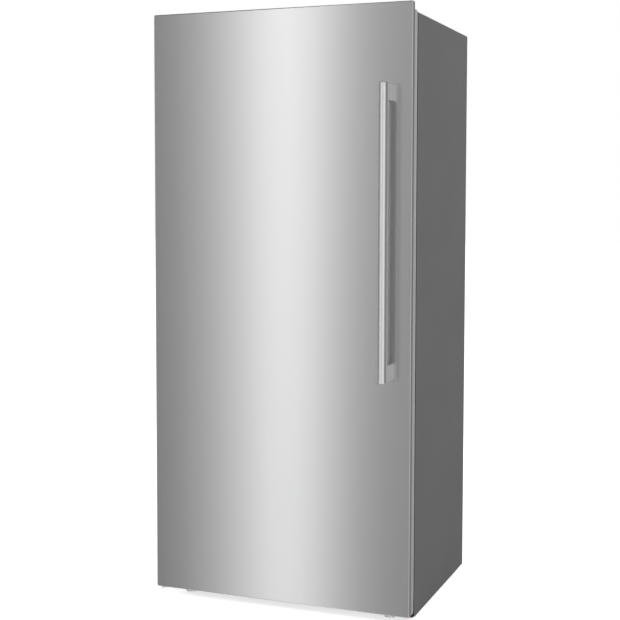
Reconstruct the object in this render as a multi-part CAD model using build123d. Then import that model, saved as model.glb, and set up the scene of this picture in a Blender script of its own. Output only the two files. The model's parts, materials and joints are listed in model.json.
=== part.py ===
from build123d import *
import math
import os

# An upright freezer with one full-height door. Sizes are in millimetres.
# X runs to the right of someone who faces the door, Y to the back, Z up from
# the floor. The origin is the middle of the footprint, handle included.

# ------------------------------------------------------------ driving sizes

# Cabinet
CABINET_WIDTH = 838.0
CABINET_DEPTH = 582.0
CABINET_HEIGHT = 1788.0
PANEL_CLEARANCE = 16.0
SHEET = 1.0
CABINET_BEND = 6.0
SEAL_FLANGE = 32.0
BACK_RECESS = 3.0

# Insulation and liner
SIDE_FOAM = 59.0
TOP_FOAM = 59.0
BACK_FOAM = 59.0
FLOOR_FOAM = 59.0
STEP_FOAM = 57.0
STEP_FRONT_FOAM = 52.0
LINER = 2.0
CAVITY_CORNER = 16.0
SEAL_DROP = 22.0

# Machine space
DECK_HEIGHT = 68.0
DECK_FLANGE = 20.0
MACHINE_HEIGHT = 245.0
MACHINE_DEPTH = 212.0

# Door
DOOR_CLEARANCE = 27.0
DOOR_RISE = 25.0
SLAB_DEPTH = 13.0
DOOR_BODY_DEPTH = 30.0
GASKET_SPACE = 6.0
SKIN = 1.0
SKIN_CORNER = 5.0
SKIN_EDGE = 3.5
SKIN_RETURN = 9.0
BODY_INSET_SIDE = 1.5
BODY_INSET_TOP = 22.5
BODY_INSET_BOTTOM = 3.0
SURROUND = 2.5
END_CAP_HEIGHT = 18.0
BOSS_WALL = 2.5
RIM_CORNER = 4.0
DYKE_WIDTH = 28.0
DYKE_REACH = 40.0
DYKE_SIDE = 79.0
DYKE_END = 30.0
DYKE_TAPER = 8.0
DYKE_CORNER = 24.0
POCKET_CORNER = 20.0
POCKET_REACH = 6.0
GASKET_WIDTH = 22.0
GASKET_SIDE_INSET = 15.0
GASKET_CLEARANCE = 0.3
GASKET_GROOVE = 4.0

# Hinges
PIN_FROM_SIDE = 14.0
PIN_FROM_FRONT = 21.0
PIN_RADIUS = 5.0
PIN_CLEARANCE = 0.15
PIN_LENGTH_IN_DOOR = 22.0
PIN_END_GAP = 0.8
BUSH_WALL = 1.85
BUSH_FLANGE_RADIUS = 7.8
BUSH_FLANGE = 1.2
BUSH_GAP = 0.3
BUSH_FLOOR = 1.2
HINGE_PLATE = 4.0
LOWER_PLATE = 5.0
NOSE_RADIUS = 7.0
BRACKET_LEFT = 3.0
BRACKET_WIDTH = 56.0
BRACKET_LEFT_KNEE = 18.0
BRACKET_RIGHT_KNEE = 24.0
BRACKET_ON_TOP = 66.0
BRACKET_UNDER_RAIL = 52.0
HINGE_CAP_WALL = 1.8
HINGE_CAP_HEIGHT = 19.0
HINGE_CAP_MARGIN = 2.0
HINGE_CAP_CORNER = 8.0

# Handle
BAR_DIAMETER = 28.0
BAR_STANDOFF = 45.0
BAR_LENGTH = 867.0
BAR_FROM_SIDE = 74.0
BAR_FLOOR_HEIGHT = 728.0
BAR_END_ROUND = 2.5
POST_WIDTH = 24.0
POST_HEIGHT = 50.0
POST_CORNER = 3.0
POST_END_OFFSET = 1.0
STUD_RADIUS = 4.0
STUD_REACH = 20.0
STUD_HEAD_RADIUS = 9.0
STUD_HEAD = 3.0
STUD_SPACING = 24.0

# Base
FRAME_BOTTOM = 24.0
FRAME_PLATE = 2.0
FRONT_RAIL_DEPTH = 60.0
SIDE_RAIL_FLANGE = 30.0
SIDE_RAIL_RISE = 4.0
BASE_PLATE_HEIGHT = 30.0
REAR_FLANGE = 22.0
LEG_FROM_SIDE = 84.0
LEG_SETBACK = 32.0
LEG_STUD_RADIUS = 5.0
LEG_STUD_LENGTH = 46.0
LEG_STUD_CLEARANCE = 0.2
LEG_FOOT_RADIUS = 18.0
LEG_FOOT = 8.0
LEG_HEX = 8.0
LEG_HEX_HEIGHT = 6.0
NUT_RADIUS = 9.0
NUT_HEIGHT = 12.0
ROLLER_RADIUS = 20.0
ROLLER_WIDTH = 21.0
ROLLER_FROM_SIDE = 34.0
ROLLER_FROM_BACK = 45.0
ROLLER_SIDE_GAP = 0.5
ROLLER_WELL_GAP = 8.0
AXLE_RADIUS = 4.0
AXLE_CLEARANCE = 0.2
CHEEK_HALF_DEPTH = 24.0
GRILLE_THICKNESS = 3.0
GRILLE_LIP_REACH = 17.0
GRILLE_LIP = 5.0
GRILLE_LIP_HEIGHT = 19.0
GRILLE_HINGE_CLEARANCE = 85.0
GRILLE_SLOTS = 22
GRILLE_SLOT_ROWS = 3
GRILLE_SLOT_HEIGHT = 5.0
GRILLE_SLOT_RISE = 11.0
GRILLE_SLOT_BRIDGE = 8.0
GRILLE_END_MARGIN = 75.0

# Shelves
SHELF_COUNT = 4
SHELF_ABOVE_DRAWERS = 35.0
SHELF_FROM_DOOR = 131.0
SHELF_FROM_COVER = 18.0
SHELF_SIDE_CLEARANCE = 3.0
GLASS = 4.0
GLASS_CORNER = 6.0
SHELF_LEDGE = 10.0
LEDGE_HEIGHT = 12.0
LEDGE_MARGIN = 4.0
TRIM_GRIP = 14.0
TRIM_LIP = 3.0
TRIM_FRONT = 5.0
TRIM_FRONT_RISE = 5.0
TRIM_REAR = 4.0
TRIM_REAR_RISE = 14.0
TRIM_SIDE_GAP = 2.0

# Drawers
DRAWER_COUNT = 3
DRAWER_PITCH = 195.0
DRAWER_HEIGHT = 168.0
DRAWER_FLOOR_GAP = 12.0
DRAWER_WALL = 3.0
DRAWER_CORNER = 14.0
DRAWER_FLANGE = 12.0
DRAWER_FLANGE_THICKNESS = 4.0
DRAWER_SIDE_GAP = 22.0
DRAWER_FACE_THICKNESS = 8.0
DRAWER_FACE_SIDE_GAP = 6.0
DRAWER_FACE_DROP = 4.0
DRAWER_FACE_RISE = 8.0
DRAWER_FACE_CORNER = 10.0
DRAWER_REAR_GAP = 5.0
DRAWER_GRIP_WIDTH = 150.0
DRAWER_GRIP_HEIGHT = 24.0
DRAWER_GRIP_DROP = 26.0
RUNNER_BODY_GAP = 3.0
RUNNER_FOOT = 10.0
RUNNER_LIP = 4.0
RUNNER_CLEARANCE = 0.3
RUNNER_FLANGE_GAP = 1.0
RUNNER_LEAD = 4.0
RUNNER_END = 6.0
RUNNER_REAR_GAP = 12.0

# Door bins
BIN_ABOVE_SHELF = 25.0
BIN_HEIGHT = 92.0
BIN_REACH = 97.0
BIN_WALL = 3.0
BIN_CORNER = 26.0
BIN_SIDE_GAP = 12.0
BIN_EAR = 6.0
BIN_EAR_HEIGHT = 14.0
BIN_EAR_DEPTH = 27.0
BIN_EAR_SETBACK = 4.0
LUG_HEIGHT = 12.0
LUG_INSET = 3.0
LUG_REACH = 18.0

# Evaporator compartment
COVER_SPACE = 58.0
COVER_WALL = 2.5
COVER_CORNER = 10.0
COVER_SIDE_GAP = 27.0
COVER_ABOVE_FAN = 115.0
DUCT_HALF_WIDTH = 110.0
DUCT_SPACE = 28.0
DUCT_BELOW_CEILING = 52.0
DUCT_SLOT_LIFT = 105.0
DUCT_SLOT_ROWS = 3
DUCT_SLOT_MARGIN = 40.0
RETURN_SLOT_LIFT = 45.0
RETURN_SLOT_ROWS = 4
RETURN_SLOT_COLUMNS = 7
RETURN_SLOT_PITCH = 80.0
RETURN_SLOT_BRIDGE = 16.0
SLOT_HEIGHT = 6.0
SLOT_RISE = 13.0
EVAPORATOR_SIDE_GAP = 85.0
EVAPORATOR_LIFT = 105.0
EVAPORATOR_PASSES = 6
EVAPORATOR_PITCH = 32.0
EVAPORATOR_TUBE = 4.75
EVAPORATOR_STUB = 22.0
EVAPORATOR_FINS = 24
FIN = 0.8
FIN_MARGIN = 13.0
FIN_FRONT = 10.0
FIN_END_INSET = 6.0
FIN_BACK_GAP = 0.3
FIN_HOLE_CLEARANCE = 0.1
HEATER_RADIUS = 4.0
HEATER_DROP = 20.0
HEATER_END = 14.0
COIL_FROM_LINER = 12.0
COIL_ROW_SPACING = 23.0
BEND_RELIEF = 0.2
FAN_ABOVE_SHELF = 55.0
EVAPORATOR_FAN_RADIUS = 56.0
EVAPORATOR_FAN_DEPTH = 16.0
FAN_RING_DEPTH = 28.0
FAN_RING_WALL = 2.5
FAN_TIP_GAP = 4.0
FAN_MOTOR_RADIUS = 20.0
FAN_MOTOR_LENGTH = 16.0
FAN_ARM = 4.0
FAN_ARM_WIDTH = 7.0
FAN_SLOT_ROWS = 4
FAN_SLOT_RISE = 12.0
SHAFT_RADIUS = 2.5
SHAFT_CLEARANCE = 0.1
TROUGH_WALL = 2.0
TROUGH_HEIGHT = 22.0
TROUGH_GAP = 4.0
TROUGH_END = 17.0
TROUGH_DRAIN_END = 22.0
DRAIN_BESIDE_COIL = 25.0
DRAIN_RADIUS = 10.0
DRAIN_ABOVE_PAN = 12.0
HOLE_CLEARANCE = 0.2

# Machine parts
COMPRESSOR_FROM_SIDE = 213.0
COMPRESSOR_RADIUS = 75.0
COMPRESSOR_HEIGHT = 165.0
COMPRESSOR_WALL = 3.5
COMPRESSOR_FOOT = 3.0
COMPRESSOR_FOOT_MARGIN = 14.0
COMPRESSOR_CROWN = 40.0
COMPRESSOR_KEEL = 26.0
SEAM_REACH = 3.0
SEAM_HEIGHT = 4.0
SEAM_LIFT = 96.0
PUMP_RADIUS = 45.0
PUMP_HEIGHT = 106.0
MOUNT_RADIUS = 11.0
MOUNT_HEIGHT = 10.0
MOUNT_STUD_RADIUS = 4.0
MOUNT_STUD_PROUD = 6.0
MOUNT_HOLE_CLEARANCE = 0.1
MOUNT_SPACING_X = 120.0
MOUNT_SPACING_Y = 150.0
TERMINAL_WIDTH = 64.0
TERMINAL_HEIGHT = 52.0
TERMINAL_LIFT = 35.0
TERMINAL_REACH = 32.0
TERMINAL_INSET = 20.0
CONDENSER_FROM_SIDE = 258.0
CONDENSER_COLUMNS = 3
CONDENSER_PASSES = 5
CONDENSER_PITCH = 30.0
CONDENSER_LOW = 78.0
CONDENSER_TUBE = 3.5
CONDENSER_HALF_LENGTH = 72.0
CONDENSER_END = 4.0
CONDENSER_FINS = 13
CONDENSER_END_FIN = 1.5
CONDENSER_FIN_MARGIN = 18.0
CONDENSER_PAD = 4.0
CONDENSER_PAD_HALF_WIDTH = 40.0
CONDENSER_FAN_BESIDE = 98.0
CONDENSER_FAN_RADIUS = 68.0
CONDENSER_FAN_DEPTH = 20.0
CONDENSER_FAN_OFFSET = 6.0
CONDENSER_MOTOR_RADIUS = 24.0
CONDENSER_MOTOR_LENGTH = 32.0
CONDENSER_MOTOR_GAP = 20.0
FAN_SHEET = 2.0
FAN_SHEET_FRONT = 92.0
FAN_SHEET_BACK = 79.0
FAN_SHEET_TOP_GAP = 8.0
FAN_COLLAR = 15.0
FAN_FOOT_HALF = 60.0
FAN_FOOT_REACH = 11.0
PAN_WALL = 2.0
PAN_HEIGHT = 20.0
PAN_CORNER = 10.0
PAN_LEFT_OF_CONDENSER = 66.0
PAN_RIGHT_OF_DRAIN = 75.0
PAN_HALF_DEPTH = 84.0
LINE_BESIDE_COIL = 47.0
LINE_FROM_WALL = 9.0
LINE_ABOVE_PLATE = 8.0
LINE_BEND = 8.0
LIQUID_LINE_RADIUS = 2.5
LIQUID_LINE_OFFSET = 20.0
LIQUID_LINE_DROP = 22.0
DISCHARGE_HEIGHT = 170.0
SUCTION_HEIGHT = 120.0
DRIER_RADIUS = 9.0
DRIER_LENGTH = 100.0
DRIER_RIGHT = 20.0
COVER_SLOT_ROWS = 9
COVER_SLOT_COLUMNS = 5
COVER_SLOT_WIDTH = 90.0
COVER_SLOT_PITCH = 110.0
COVER_SLOT_RISE = 16.0
COVER_SLOT_LOW = 75.0
COVER_SLOT_CENTRE = 20.0
COVER_SCREW_INSET = 28.0
COVER_SCREW_DROP = 10.0
COVER_FOOT_SCREW_INSET = 78.0
COVER_FOOT_DROP = 4.0
INLET_FROM_SIDE = 80.0
INLET_Z = 132.0
INLET_WIDTH = 48.0
INLET_HEIGHT = 28.0
INLET_DEPTH = 22.0
INLET_FLANGE = 6.0
INLET_WALL = 4.5
INLET_FLOOR = 3.0

# Controls
HOUSING_HALF_WIDTH = 170.0
HOUSING_HEIGHT = 42.0
HOUSING_SETBACK = 72.0
HOUSING_DEPTH = 105.0
HOUSING_WALL = 2.5
HOUSING_CORNER = 12.0
BUTTON_WIDTH = 18.0
BUTTON_HEIGHT = 12.0
BUTTON_CORNER = 2.7
BUTTON_PITCH = 32.0
BUTTON_FIRST_X = 40.0
BUTTON_COUNT = 3
BUTTON_PROUD = 1.5
BUTTON_GAP = 0.3
BUTTON_COLLAR = 2.0
BUTTON_COLLAR_THICKNESS = 1.5
BUTTON_STEM = 5.0
DISPLAY_LEFT = -130.0
DISPLAY_WIDTH = 80.0
DISPLAY_HEIGHT = 20.0
DISPLAY_RECESS = 0.8
LENS_WIDTH = 280.0
LENS_DEPTH = 50.0

# Screws
SCREW_RADIUS = 2.0
SCREW_HEAD_RADIUS = 4.5
SCREW_HEAD = 1.8
SCREW_LENGTH = 10.0
HINGE_SCREW_RADIUS = 2.5
HINGE_SCREW_SPACING = 34.0
HINGE_SCREW_EDGE = 13.0
TOP_SCREW_SETBACK = 22.0

# ------------------------------------------------------------ derived places

HALF = CABINET_WIDTH / 2
INSIDE = HALF - SHEET
HANDLE_REACH = BAR_STANDOFF + BAR_DIAMETER / 2
DOOR_DEPTH = SLAB_DEPTH + DOOR_BODY_DEPTH
OVERALL_DEPTH = HANDLE_REACH + DOOR_DEPTH + GASKET_SPACE + CABINET_DEPTH
DOOR_FRONT = -OVERALL_DEPTH / 2 + HANDLE_REACH
SLAB_BACK = DOOR_FRONT + SLAB_DEPTH
DOOR_BACK = SLAB_BACK + DOOR_BODY_DEPTH
CABINET_FRONT = DOOR_BACK + GASKET_SPACE
CABINET_BACK = CABINET_FRONT + CABINET_DEPTH
PANEL_BACK = CABINET_BACK - BACK_RECESS
PANEL_FRONT = PANEL_BACK - SHEET
CABINET_BOTTOM = PANEL_CLEARANCE
CABINET_TOP = CABINET_BOTTOM + CABINET_HEIGHT
WINDOW_HALF = HALF - SEAL_FLANGE

CAVITY_HALF = INSIDE - SIDE_FOAM - LINER
CAVITY_TOP = CABINET_TOP - SHEET - TOP_FOAM - LINER
CAVITY_BACK = PANEL_FRONT - BACK_FOAM - LINER
CAVITY_FLOOR = DECK_HEIGHT + SHEET + FLOOR_FOAM + LINER
STEP_TOP = MACHINE_HEIGHT + SHEET + STEP_FOAM + LINER
MACHINE_FRONT = PANEL_BACK - MACHINE_DEPTH
MACHINE_CENTRE = (MACHINE_FRONT + PANEL_BACK) / 2
STEP_FRONT = MACHINE_FRONT - SHEET - STEP_FRONT_FOAM - LINER
SEAL_TOP = DECK_HEIGHT + SHEET + FLOOR_FOAM - SEAL_DROP

DOOR_BOTTOM = DOOR_CLEARANCE
DOOR_TOP = CABINET_TOP + DOOR_RISE
BODY_HALF = HALF - BODY_INSET_SIDE
BODY_TOP = DOOR_TOP - BODY_INSET_TOP
BODY_BOTTOM = DOOR_BOTTOM + BODY_INSET_BOTTOM
LINER_PLANE = DOOR_BACK - LINER
RETURN_HALF = BODY_HALF - SKIN_RETURN
DYKE_HALF = HALF - DYKE_SIDE
DYKE_BOTTOM = CAVITY_FLOOR + DYKE_END
DYKE_TOP = CAVITY_TOP - DYKE_END
DYKE_SLOPE = math.tan(math.radians(DYKE_TAPER))
POCKET_HALF = DYKE_HALF - DYKE_REACH * DYKE_SLOPE - DYKE_WIDTH
POCKET_FLOOR = DOOR_BACK + POCKET_REACH
GASKET_HALF = HALF - GASKET_SIDE_INSET
GASKET_TOP = CAVITY_TOP + (GASKET_HALF - CAVITY_HALF)
GASKET_BOTTOM = SEAL_TOP - GASKET_WIDTH
GASKET_FACE = CABINET_FRONT - GASKET_CLEARANCE

PIN_X = -HALF + PIN_FROM_SIDE
PIN_Y = DOOR_FRONT + PIN_FROM_FRONT
BUSH_INNER = PIN_RADIUS + PIN_CLEARANCE
BUSH_OUTER = BUSH_INNER + BUSH_WALL
BUSH_BORE = PIN_LENGTH_IN_DOOR + PIN_END_GAP
BUSH_LENGTH = BUSH_BORE + BUSH_FLOOR
TONGUE_LOW = BODY_TOP + BUSH_FLANGE + BUSH_GAP
TONGUE_TOP = TONGUE_LOW + HINGE_PLATE
BRACKET_RIGHT = BRACKET_LEFT + BRACKET_WIDTH

BAR_RADIUS = BAR_DIAMETER / 2
BAR_X = HALF - BAR_FROM_SIDE
BAR_Y = DOOR_FRONT - BAR_STANDOFF
BAR_TOP = BAR_FLOOR_HEIGHT + BAR_LENGTH
POST_LOW_Z = BAR_FLOOR_HEIGHT + POST_END_OFFSET + POST_HEIGHT / 2
POST_HIGH_Z = BAR_TOP - POST_END_OFFSET - POST_HEIGHT / 2

FRAME_FRONT = CABINET_FRONT + GRILLE_THICKNESS
RAIL_BACK = FRAME_FRONT + FRONT_RAIL_DEPTH
PLATE_TOP = BASE_PLATE_HEIGHT + FRAME_PLATE
LEG_X = HALF - LEG_FROM_SIDE
LEG_Y = CABINET_FRONT + LEG_SETBACK
ROLLER_X = HALF - ROLLER_FROM_SIDE
ROLLER_Y = CABINET_BACK - ROLLER_FROM_BACK
GRILLE_LEFT = PIN_X + GRILLE_HINGE_CLEARANCE

FIRST_DRAWER_TOP = CAVITY_FLOOR + DRAWER_FLOOR_GAP + DRAWER_HEIGHT
DRAWER_TOPS = [FIRST_DRAWER_TOP + k * DRAWER_PITCH for k in range(DRAWER_COUNT)]
FIRST_SHELF = DRAWER_TOPS[-1] + SHELF_ABOVE_DRAWERS
SHELF_PITCH = (CAVITY_TOP - FIRST_SHELF) / SHELF_COUNT
SHELF_HEIGHTS = [FIRST_SHELF + k * SHELF_PITCH for k in range(SHELF_COUNT)]
BIN_LOWS = [z + BIN_ABOVE_SHELF for z in SHELF_HEIGHTS]
BIN_HALF = POCKET_HALF - BIN_SIDE_GAP
SHELF_Y0 = DOOR_BACK + SHELF_FROM_DOOR
DRAWER_HALF = CAVITY_HALF - DRAWER_SIDE_GAP
DRAWER_FACE = SHELF_Y0
DRAWER_BODY_FRONT = DRAWER_FACE + DRAWER_FACE_THICKNESS

COVER_FRONT = CAVITY_BACK - COVER_SPACE
SHELF_Y1 = COVER_FRONT - SHELF_FROM_COVER
COVER_INNER = COVER_FRONT + COVER_WALL
COVER_HALF = CAVITY_HALF - COVER_SIDE_GAP
FAN_Z = FIRST_SHELF + FAN_ABOVE_SHELF
COVER_TOP = FAN_Z + COVER_ABOVE_FAN
DUCT_FRONT = CAVITY_BACK - DUCT_SPACE
DUCT_TOP = CAVITY_TOP - DUCT_BELOW_CEILING
EVAPORATOR_HALF = COVER_HALF - EVAPORATOR_SIDE_GAP
EVAPORATOR_LOW = STEP_TOP + EVAPORATOR_LIFT
EVAPORATOR_TOP = EVAPORATOR_LOW + (EVAPORATOR_PASSES - 1) * EVAPORATOR_PITCH
COIL_BACK_Y = CAVITY_BACK - COIL_FROM_LINER
COIL_FRONT_Y = COIL_BACK_Y - COIL_ROW_SPACING
STUB_X = -EVAPORATOR_HALF - EVAPORATOR_STUB
LINE_X = -EVAPORATOR_HALF - LINE_BESIDE_COIL
HEATER_Z = EVAPORATOR_LOW - HEATER_DROP
DRAIN_X = EVAPORATOR_HALF + DRAIN_BESIDE_COIL

COMPRESSOR_X = -INSIDE + COMPRESSOR_FROM_SIDE
COMPRESSOR_LOW = PLATE_TOP + MOUNT_HEIGHT + COMPRESSOR_FOOT
CONDENSER_X = INSIDE - CONDENSER_FROM_SIDE
CONDENSER_Y0 = MACHINE_CENTRE - CONDENSER_HALF_LENGTH
CONDENSER_Y1 = MACHINE_CENTRE + CONDENSER_HALF_LENGTH
CONDENSER_FAN_X = CONDENSER_X - CONDENSER_FAN_BESIDE
CONDENSER_FAN_Z = CONDENSER_LOW + 2 * CONDENSER_PITCH
PAN_TOP = PLATE_TOP + PAN_HEIGHT
PAN_LEFT = CONDENSER_X - PAN_LEFT_OF_CONDENSER
PAN_RIGHT = DRAIN_X + PAN_RIGHT_OF_DRAIN
INLET_X = -INSIDE + INLET_FROM_SIDE

HOUSING_FRONT = CABINET_FRONT + HOUSING_SETBACK
HOUSING_BACK = HOUSING_FRONT + HOUSING_DEPTH
HOUSING_BOTTOM = CAVITY_TOP - HOUSING_HEIGHT
HOUSING_MIDDLE = HOUSING_BOTTOM + HOUSING_HEIGHT / 2

PAST = 1.0  # how far a cutting solid runs past the face it opens


# ------------------------------------------------------------ small helpers


def block(x0, x1, y0, y1, z0, z1):
    """A box between two corners."""
    size = Box(x1 - x0, y1 - y0, z1 - z0)
    return Pos((x0 + x1) / 2, (y0 + y1) / 2, (z0 + z1) / 2) * size


def centred(half, y0, y1, z0, z1):
    """A box that is centred left to right."""
    return block(-half, half, y0, y1, z0, z1)


def rod_x(x0, x1, y, z, radius):
    return Pos((x0 + x1) / 2, y, z) * Rot(0, 90, 0) * Cylinder(radius, x1 - x0)


def rod_y(x, y0, y1, z, radius):
    return Pos(x, (y0 + y1) / 2, z) * Rot(90, 0, 0) * Cylinder(radius, y1 - y0)


def rod_z(x, y, z0, z1, radius):
    return Pos(x, y, (z0 + z1) / 2) * Cylinder(radius, z1 - z0)


def rounded(shape, axis, radius):
    """The shape with its edges along one axis rounded."""
    return fillet(shape.edges().filter_by(axis), radius)


def slot_x(width, height, x, y0, y1, z):
    """A round-ended slot, long along X, cut through along Y."""
    return Pos(x, y1, z) * Rot(90, 0, 0) * extrude(SlotOverall(width, height), y1 - y0)


def tube(points, radii, radius):
    """A round tube along straight runs joined by tangent arcs."""
    path = FilletPolyline(*points, radius=radii)
    start = Plane(origin=path @ 0, z_dir=path % 0)
    return sweep(start * Circle(radius), path)


def group(shapes):
    """Several separate solids of one node."""
    return Compound(children=[solid for shape in shapes for solid in shape.solids()])


def mirrored(shape):
    return mirror(shape, about=Plane.YZ)


def spread(count, pitch):
    """Places at one pitch, centred on zero."""
    return [(k - (count - 1) / 2) * pitch for k in range(count)]


def on_circle(radius, degrees):
    angle = math.radians(degrees)
    return radius * math.cos(angle), radius * math.sin(angle)


def fan_wheel(radius, hub_radius, depth, vanes, chord, pitch):
    """A fan wheel on the Z axis, bored for its shaft."""
    span = radius - hub_radius
    vane = Pos(hub_radius + span / 2, 0, 0) * Rot(pitch, 0, 0) * Box(span + 4, chord, 1.6)
    wheel = Cylinder(hub_radius, depth)
    for k in range(vanes):
        wheel += Rot(0, 0, 360 * k / vanes) * vane
    wheel &= Cylinder(radius, depth)
    return wheel - Cylinder(SHAFT_RADIUS + SHAFT_CLEARANCE, depth + 2 * PAST)


def screw(x, y, z, turn, radius):
    """A pan-head screw. Its head's underside is at the point, and it drives up before the turn."""
    head = Pos(0, 0, -SCREW_HEAD / 2) * Cylinder(SCREW_HEAD_RADIUS, SCREW_HEAD)
    shank = Pos(0, 0, SCREW_LENGTH / 2) * Cylinder(radius, SCREW_LENGTH)
    return Pos(x, y, z) * turn * (head + shank)


# ------------------------------------------------------------ cabinet body


def cavity(grow):
    """The food space with its step over the machine space, grown by a wall."""
    low, step = CAVITY_FLOOR - grow, STEP_TOP - grow
    riser, back, top = STEP_FRONT + grow, CAVITY_BACK + grow, CAVITY_TOP + grow
    front = CABINET_FRONT - PAST
    corners = [(front, low), (riser, low), (riser, step), (back, step), (back, top), (front, top)]
    side = Plane.YZ * make_face(Polyline(*corners, close=True))
    space = extrude(side, CAVITY_HALF + grow, both=True)
    inner_edges = [edge for edge in space.edges() if edge.center().Y > front + PAST / 2]
    return fillet(inner_edges, CAVITY_CORNER + grow)


def wrapper_form(inset, front, back, bottom):
    """The cabinet's outside form, drawn in by the sheets, with its two bent top edges."""
    form = centred(HALF - inset, front, back, bottom, CABINET_TOP - inset)
    top_edges = form.edges().filter_by(Axis.Y).group_by(Axis.Z)[-1]
    return fillet(top_edges, CABINET_BEND - inset)


def bracket_screws(front, back):
    """Three screw places on a hinge plate: two in front and one behind."""
    x, half = PIN_X + BRACKET_LEFT + BRACKET_WIDTH / 2, HINGE_SCREW_SPACING / 2
    return [(x - half, front), (x + half, front), (x, back)]


def top_screw_places():
    """Where the upper hinge plate is screwed down."""
    back = CABINET_FRONT + BRACKET_ON_TOP - HINGE_SCREW_EDGE
    return bracket_screws(CABINET_FRONT + TOP_SCREW_SETBACK, back)


def cabinet_wrapper():
    shell = wrapper_form(0, CABINET_FRONT, CABINET_BACK, CABINET_BOTTOM)
    shell -= wrapper_form(SHEET, CABINET_FRONT + SHEET, CABINET_BACK + PAST, CABINET_BOTTOM - PAST)
    y0, y1 = CABINET_FRONT - PAST, CABINET_FRONT + SHEET + PAST
    shell -= centred(WINDOW_HALF, y0, y1, CABINET_BOTTOM - PAST, CABINET_TOP - SEAL_FLANGE)
    shell -= centred(INSIDE, y0, y1, CABINET_BOTTOM - PAST, DECK_HEIGHT)
    for x, y in top_screw_places():
        shell -= rod_z(x, y, CABINET_TOP - 2 * SHEET, CABINET_TOP + PAST, HINGE_SCREW_RADIUS)
    return shell


def step_holes():
    """The drain and the two refrigerant lines, where they pass the step."""
    low, high = MACHINE_HEIGHT - PAST, STEP_TOP + CAVITY_CORNER
    holes = rod_z(DRAIN_X, COIL_FRONT_Y, low, high, DRAIN_RADIUS + HOLE_CLEARANCE)
    for y in (COIL_FRONT_Y, COIL_BACK_Y):
        holes += rod_z(LINE_X, y, low, high, EVAPORATOR_TUBE + HOLE_CLEARANCE)
    return holes


def machine_deck():
    """Sheet under the foam: sealing flange, floor, machine wall and roof, and its rear flange."""
    front, top = CABINET_FRONT + SHEET, MACHINE_HEIGHT + SHEET
    flange_low = MACHINE_HEIGHT - DECK_FLANGE
    deck = centred(INSIDE, front, MACHINE_FRONT, DECK_HEIGHT, DECK_HEIGHT + SHEET)
    deck += centred(WINDOW_HALF, CABINET_FRONT, front, DECK_HEIGHT, SEAL_TOP)
    deck += centred(INSIDE, MACHINE_FRONT - SHEET, MACHINE_FRONT, DECK_HEIGHT, top)
    deck += centred(INSIDE, MACHINE_FRONT, PANEL_FRONT, MACHINE_HEIGHT, top)
    deck += centred(INSIDE, PANEL_FRONT - SHEET, PANEL_FRONT, flange_low, MACHINE_HEIGHT)
    return deck - step_holes() - cover_screw_holes()


def liner_form():
    """The liner's outer side, sealing lip included, as one closed form."""
    lip_back = CABINET_FRONT + LINER
    lip = centred(WINDOW_HALF, CABINET_FRONT, lip_back, SEAL_TOP, CABINET_TOP - SEAL_FLANGE)
    ahead = centred(HALF, CABINET_FRONT - 2 * PAST, CABINET_FRONT, 0, CABINET_TOP)
    return (cavity(LINER) - ahead) + lip


def cabinet_foam():
    """Insulation, with the flat part behind the food space as a solid of its own, which touches the rest."""
    foam = wrapper_form(SHEET, CABINET_FRONT + SHEET, PANEL_FRONT, DECK_HEIGHT + SHEET)
    foam -= centred(HALF, MACHINE_FRONT - SHEET, CABINET_BACK, 0, MACHINE_HEIGHT + SHEET)
    foam = foam - liner_form() - step_holes()
    for x, y in top_screw_places():
        foam -= rod_z(x, y, CABINET_TOP - SCREW_LENGTH, CABINET_TOP, HINGE_SCREW_RADIUS)
    back = centred(HALF, CAVITY_BACK + LINER, PANEL_FRONT, STEP_TOP - LINER, CABINET_TOP)
    return group([foam & back, foam - back])


def inner_liner():
    """White moulded liner with a ledge along each side for every glass shelf."""
    liner = liner_form() - cavity(0)
    y0, y1 = SHELF_Y0 - LEDGE_MARGIN, SHELF_Y1 + LEDGE_MARGIN
    for z in SHELF_HEIGHTS:
        ledge = block(CAVITY_HALF - SHELF_LEDGE, CAVITY_HALF + LINER / 2, y0, y1, z - LEDGE_HEIGHT, z)
        low_edge = ledge.edges().filter_by(Axis.Y).group_by(Axis.Z)[0].sort_by(Axis.X)[0]
        ledge = chamfer(low_edge, SHELF_LEDGE - 2)
        liner += ledge + mirrored(ledge)
    return liner - step_holes()


def back_panel():
    return wrapper_form(SHEET, PANEL_FRONT, PANEL_BACK, MACHINE_HEIGHT + SHEET)


# ------------------------------------------------------------ base


def cover_screw_places():
    """Rear cover screws: four along its top, two at its foot."""
    top_z, foot_z = MACHINE_HEIGHT - COVER_SCREW_DROP, PLATE_TOP + REAR_FLANGE / 2
    foot_x = INSIDE - COVER_FOOT_SCREW_INSET
    top = [(x, top_z) for x in spread(4, (INSIDE - COVER_SCREW_INSET) / 1.5)]
    return top + [(-foot_x, foot_z), (foot_x, foot_z)]


def cover_screw_holes():
    y0, y1 = PANEL_BACK - SCREW_LENGTH - PAST, PANEL_BACK + PAST
    return Compound(children=[rod_y(x, y0, y1, z, SCREW_RADIUS) for x, z in cover_screw_places()])


def lower_screw_places():
    """Where the lower hinge plate is screwed to the front rail."""
    back = FRAME_FRONT + BRACKET_UNDER_RAIL - HINGE_SCREW_EDGE
    return bracket_screws(FRAME_FRONT + HINGE_SCREW_EDGE, back)


def mount_places():
    half_x, half_y = MOUNT_SPACING_X / 2, MOUNT_SPACING_Y / 2
    corners = [(-half_x, -half_y), (half_x, -half_y), (-half_x, half_y), (half_x, half_y)]
    return [(COMPRESSOR_X + dx, MACHINE_CENTRE + dy) for dx, dy in corners]


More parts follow.
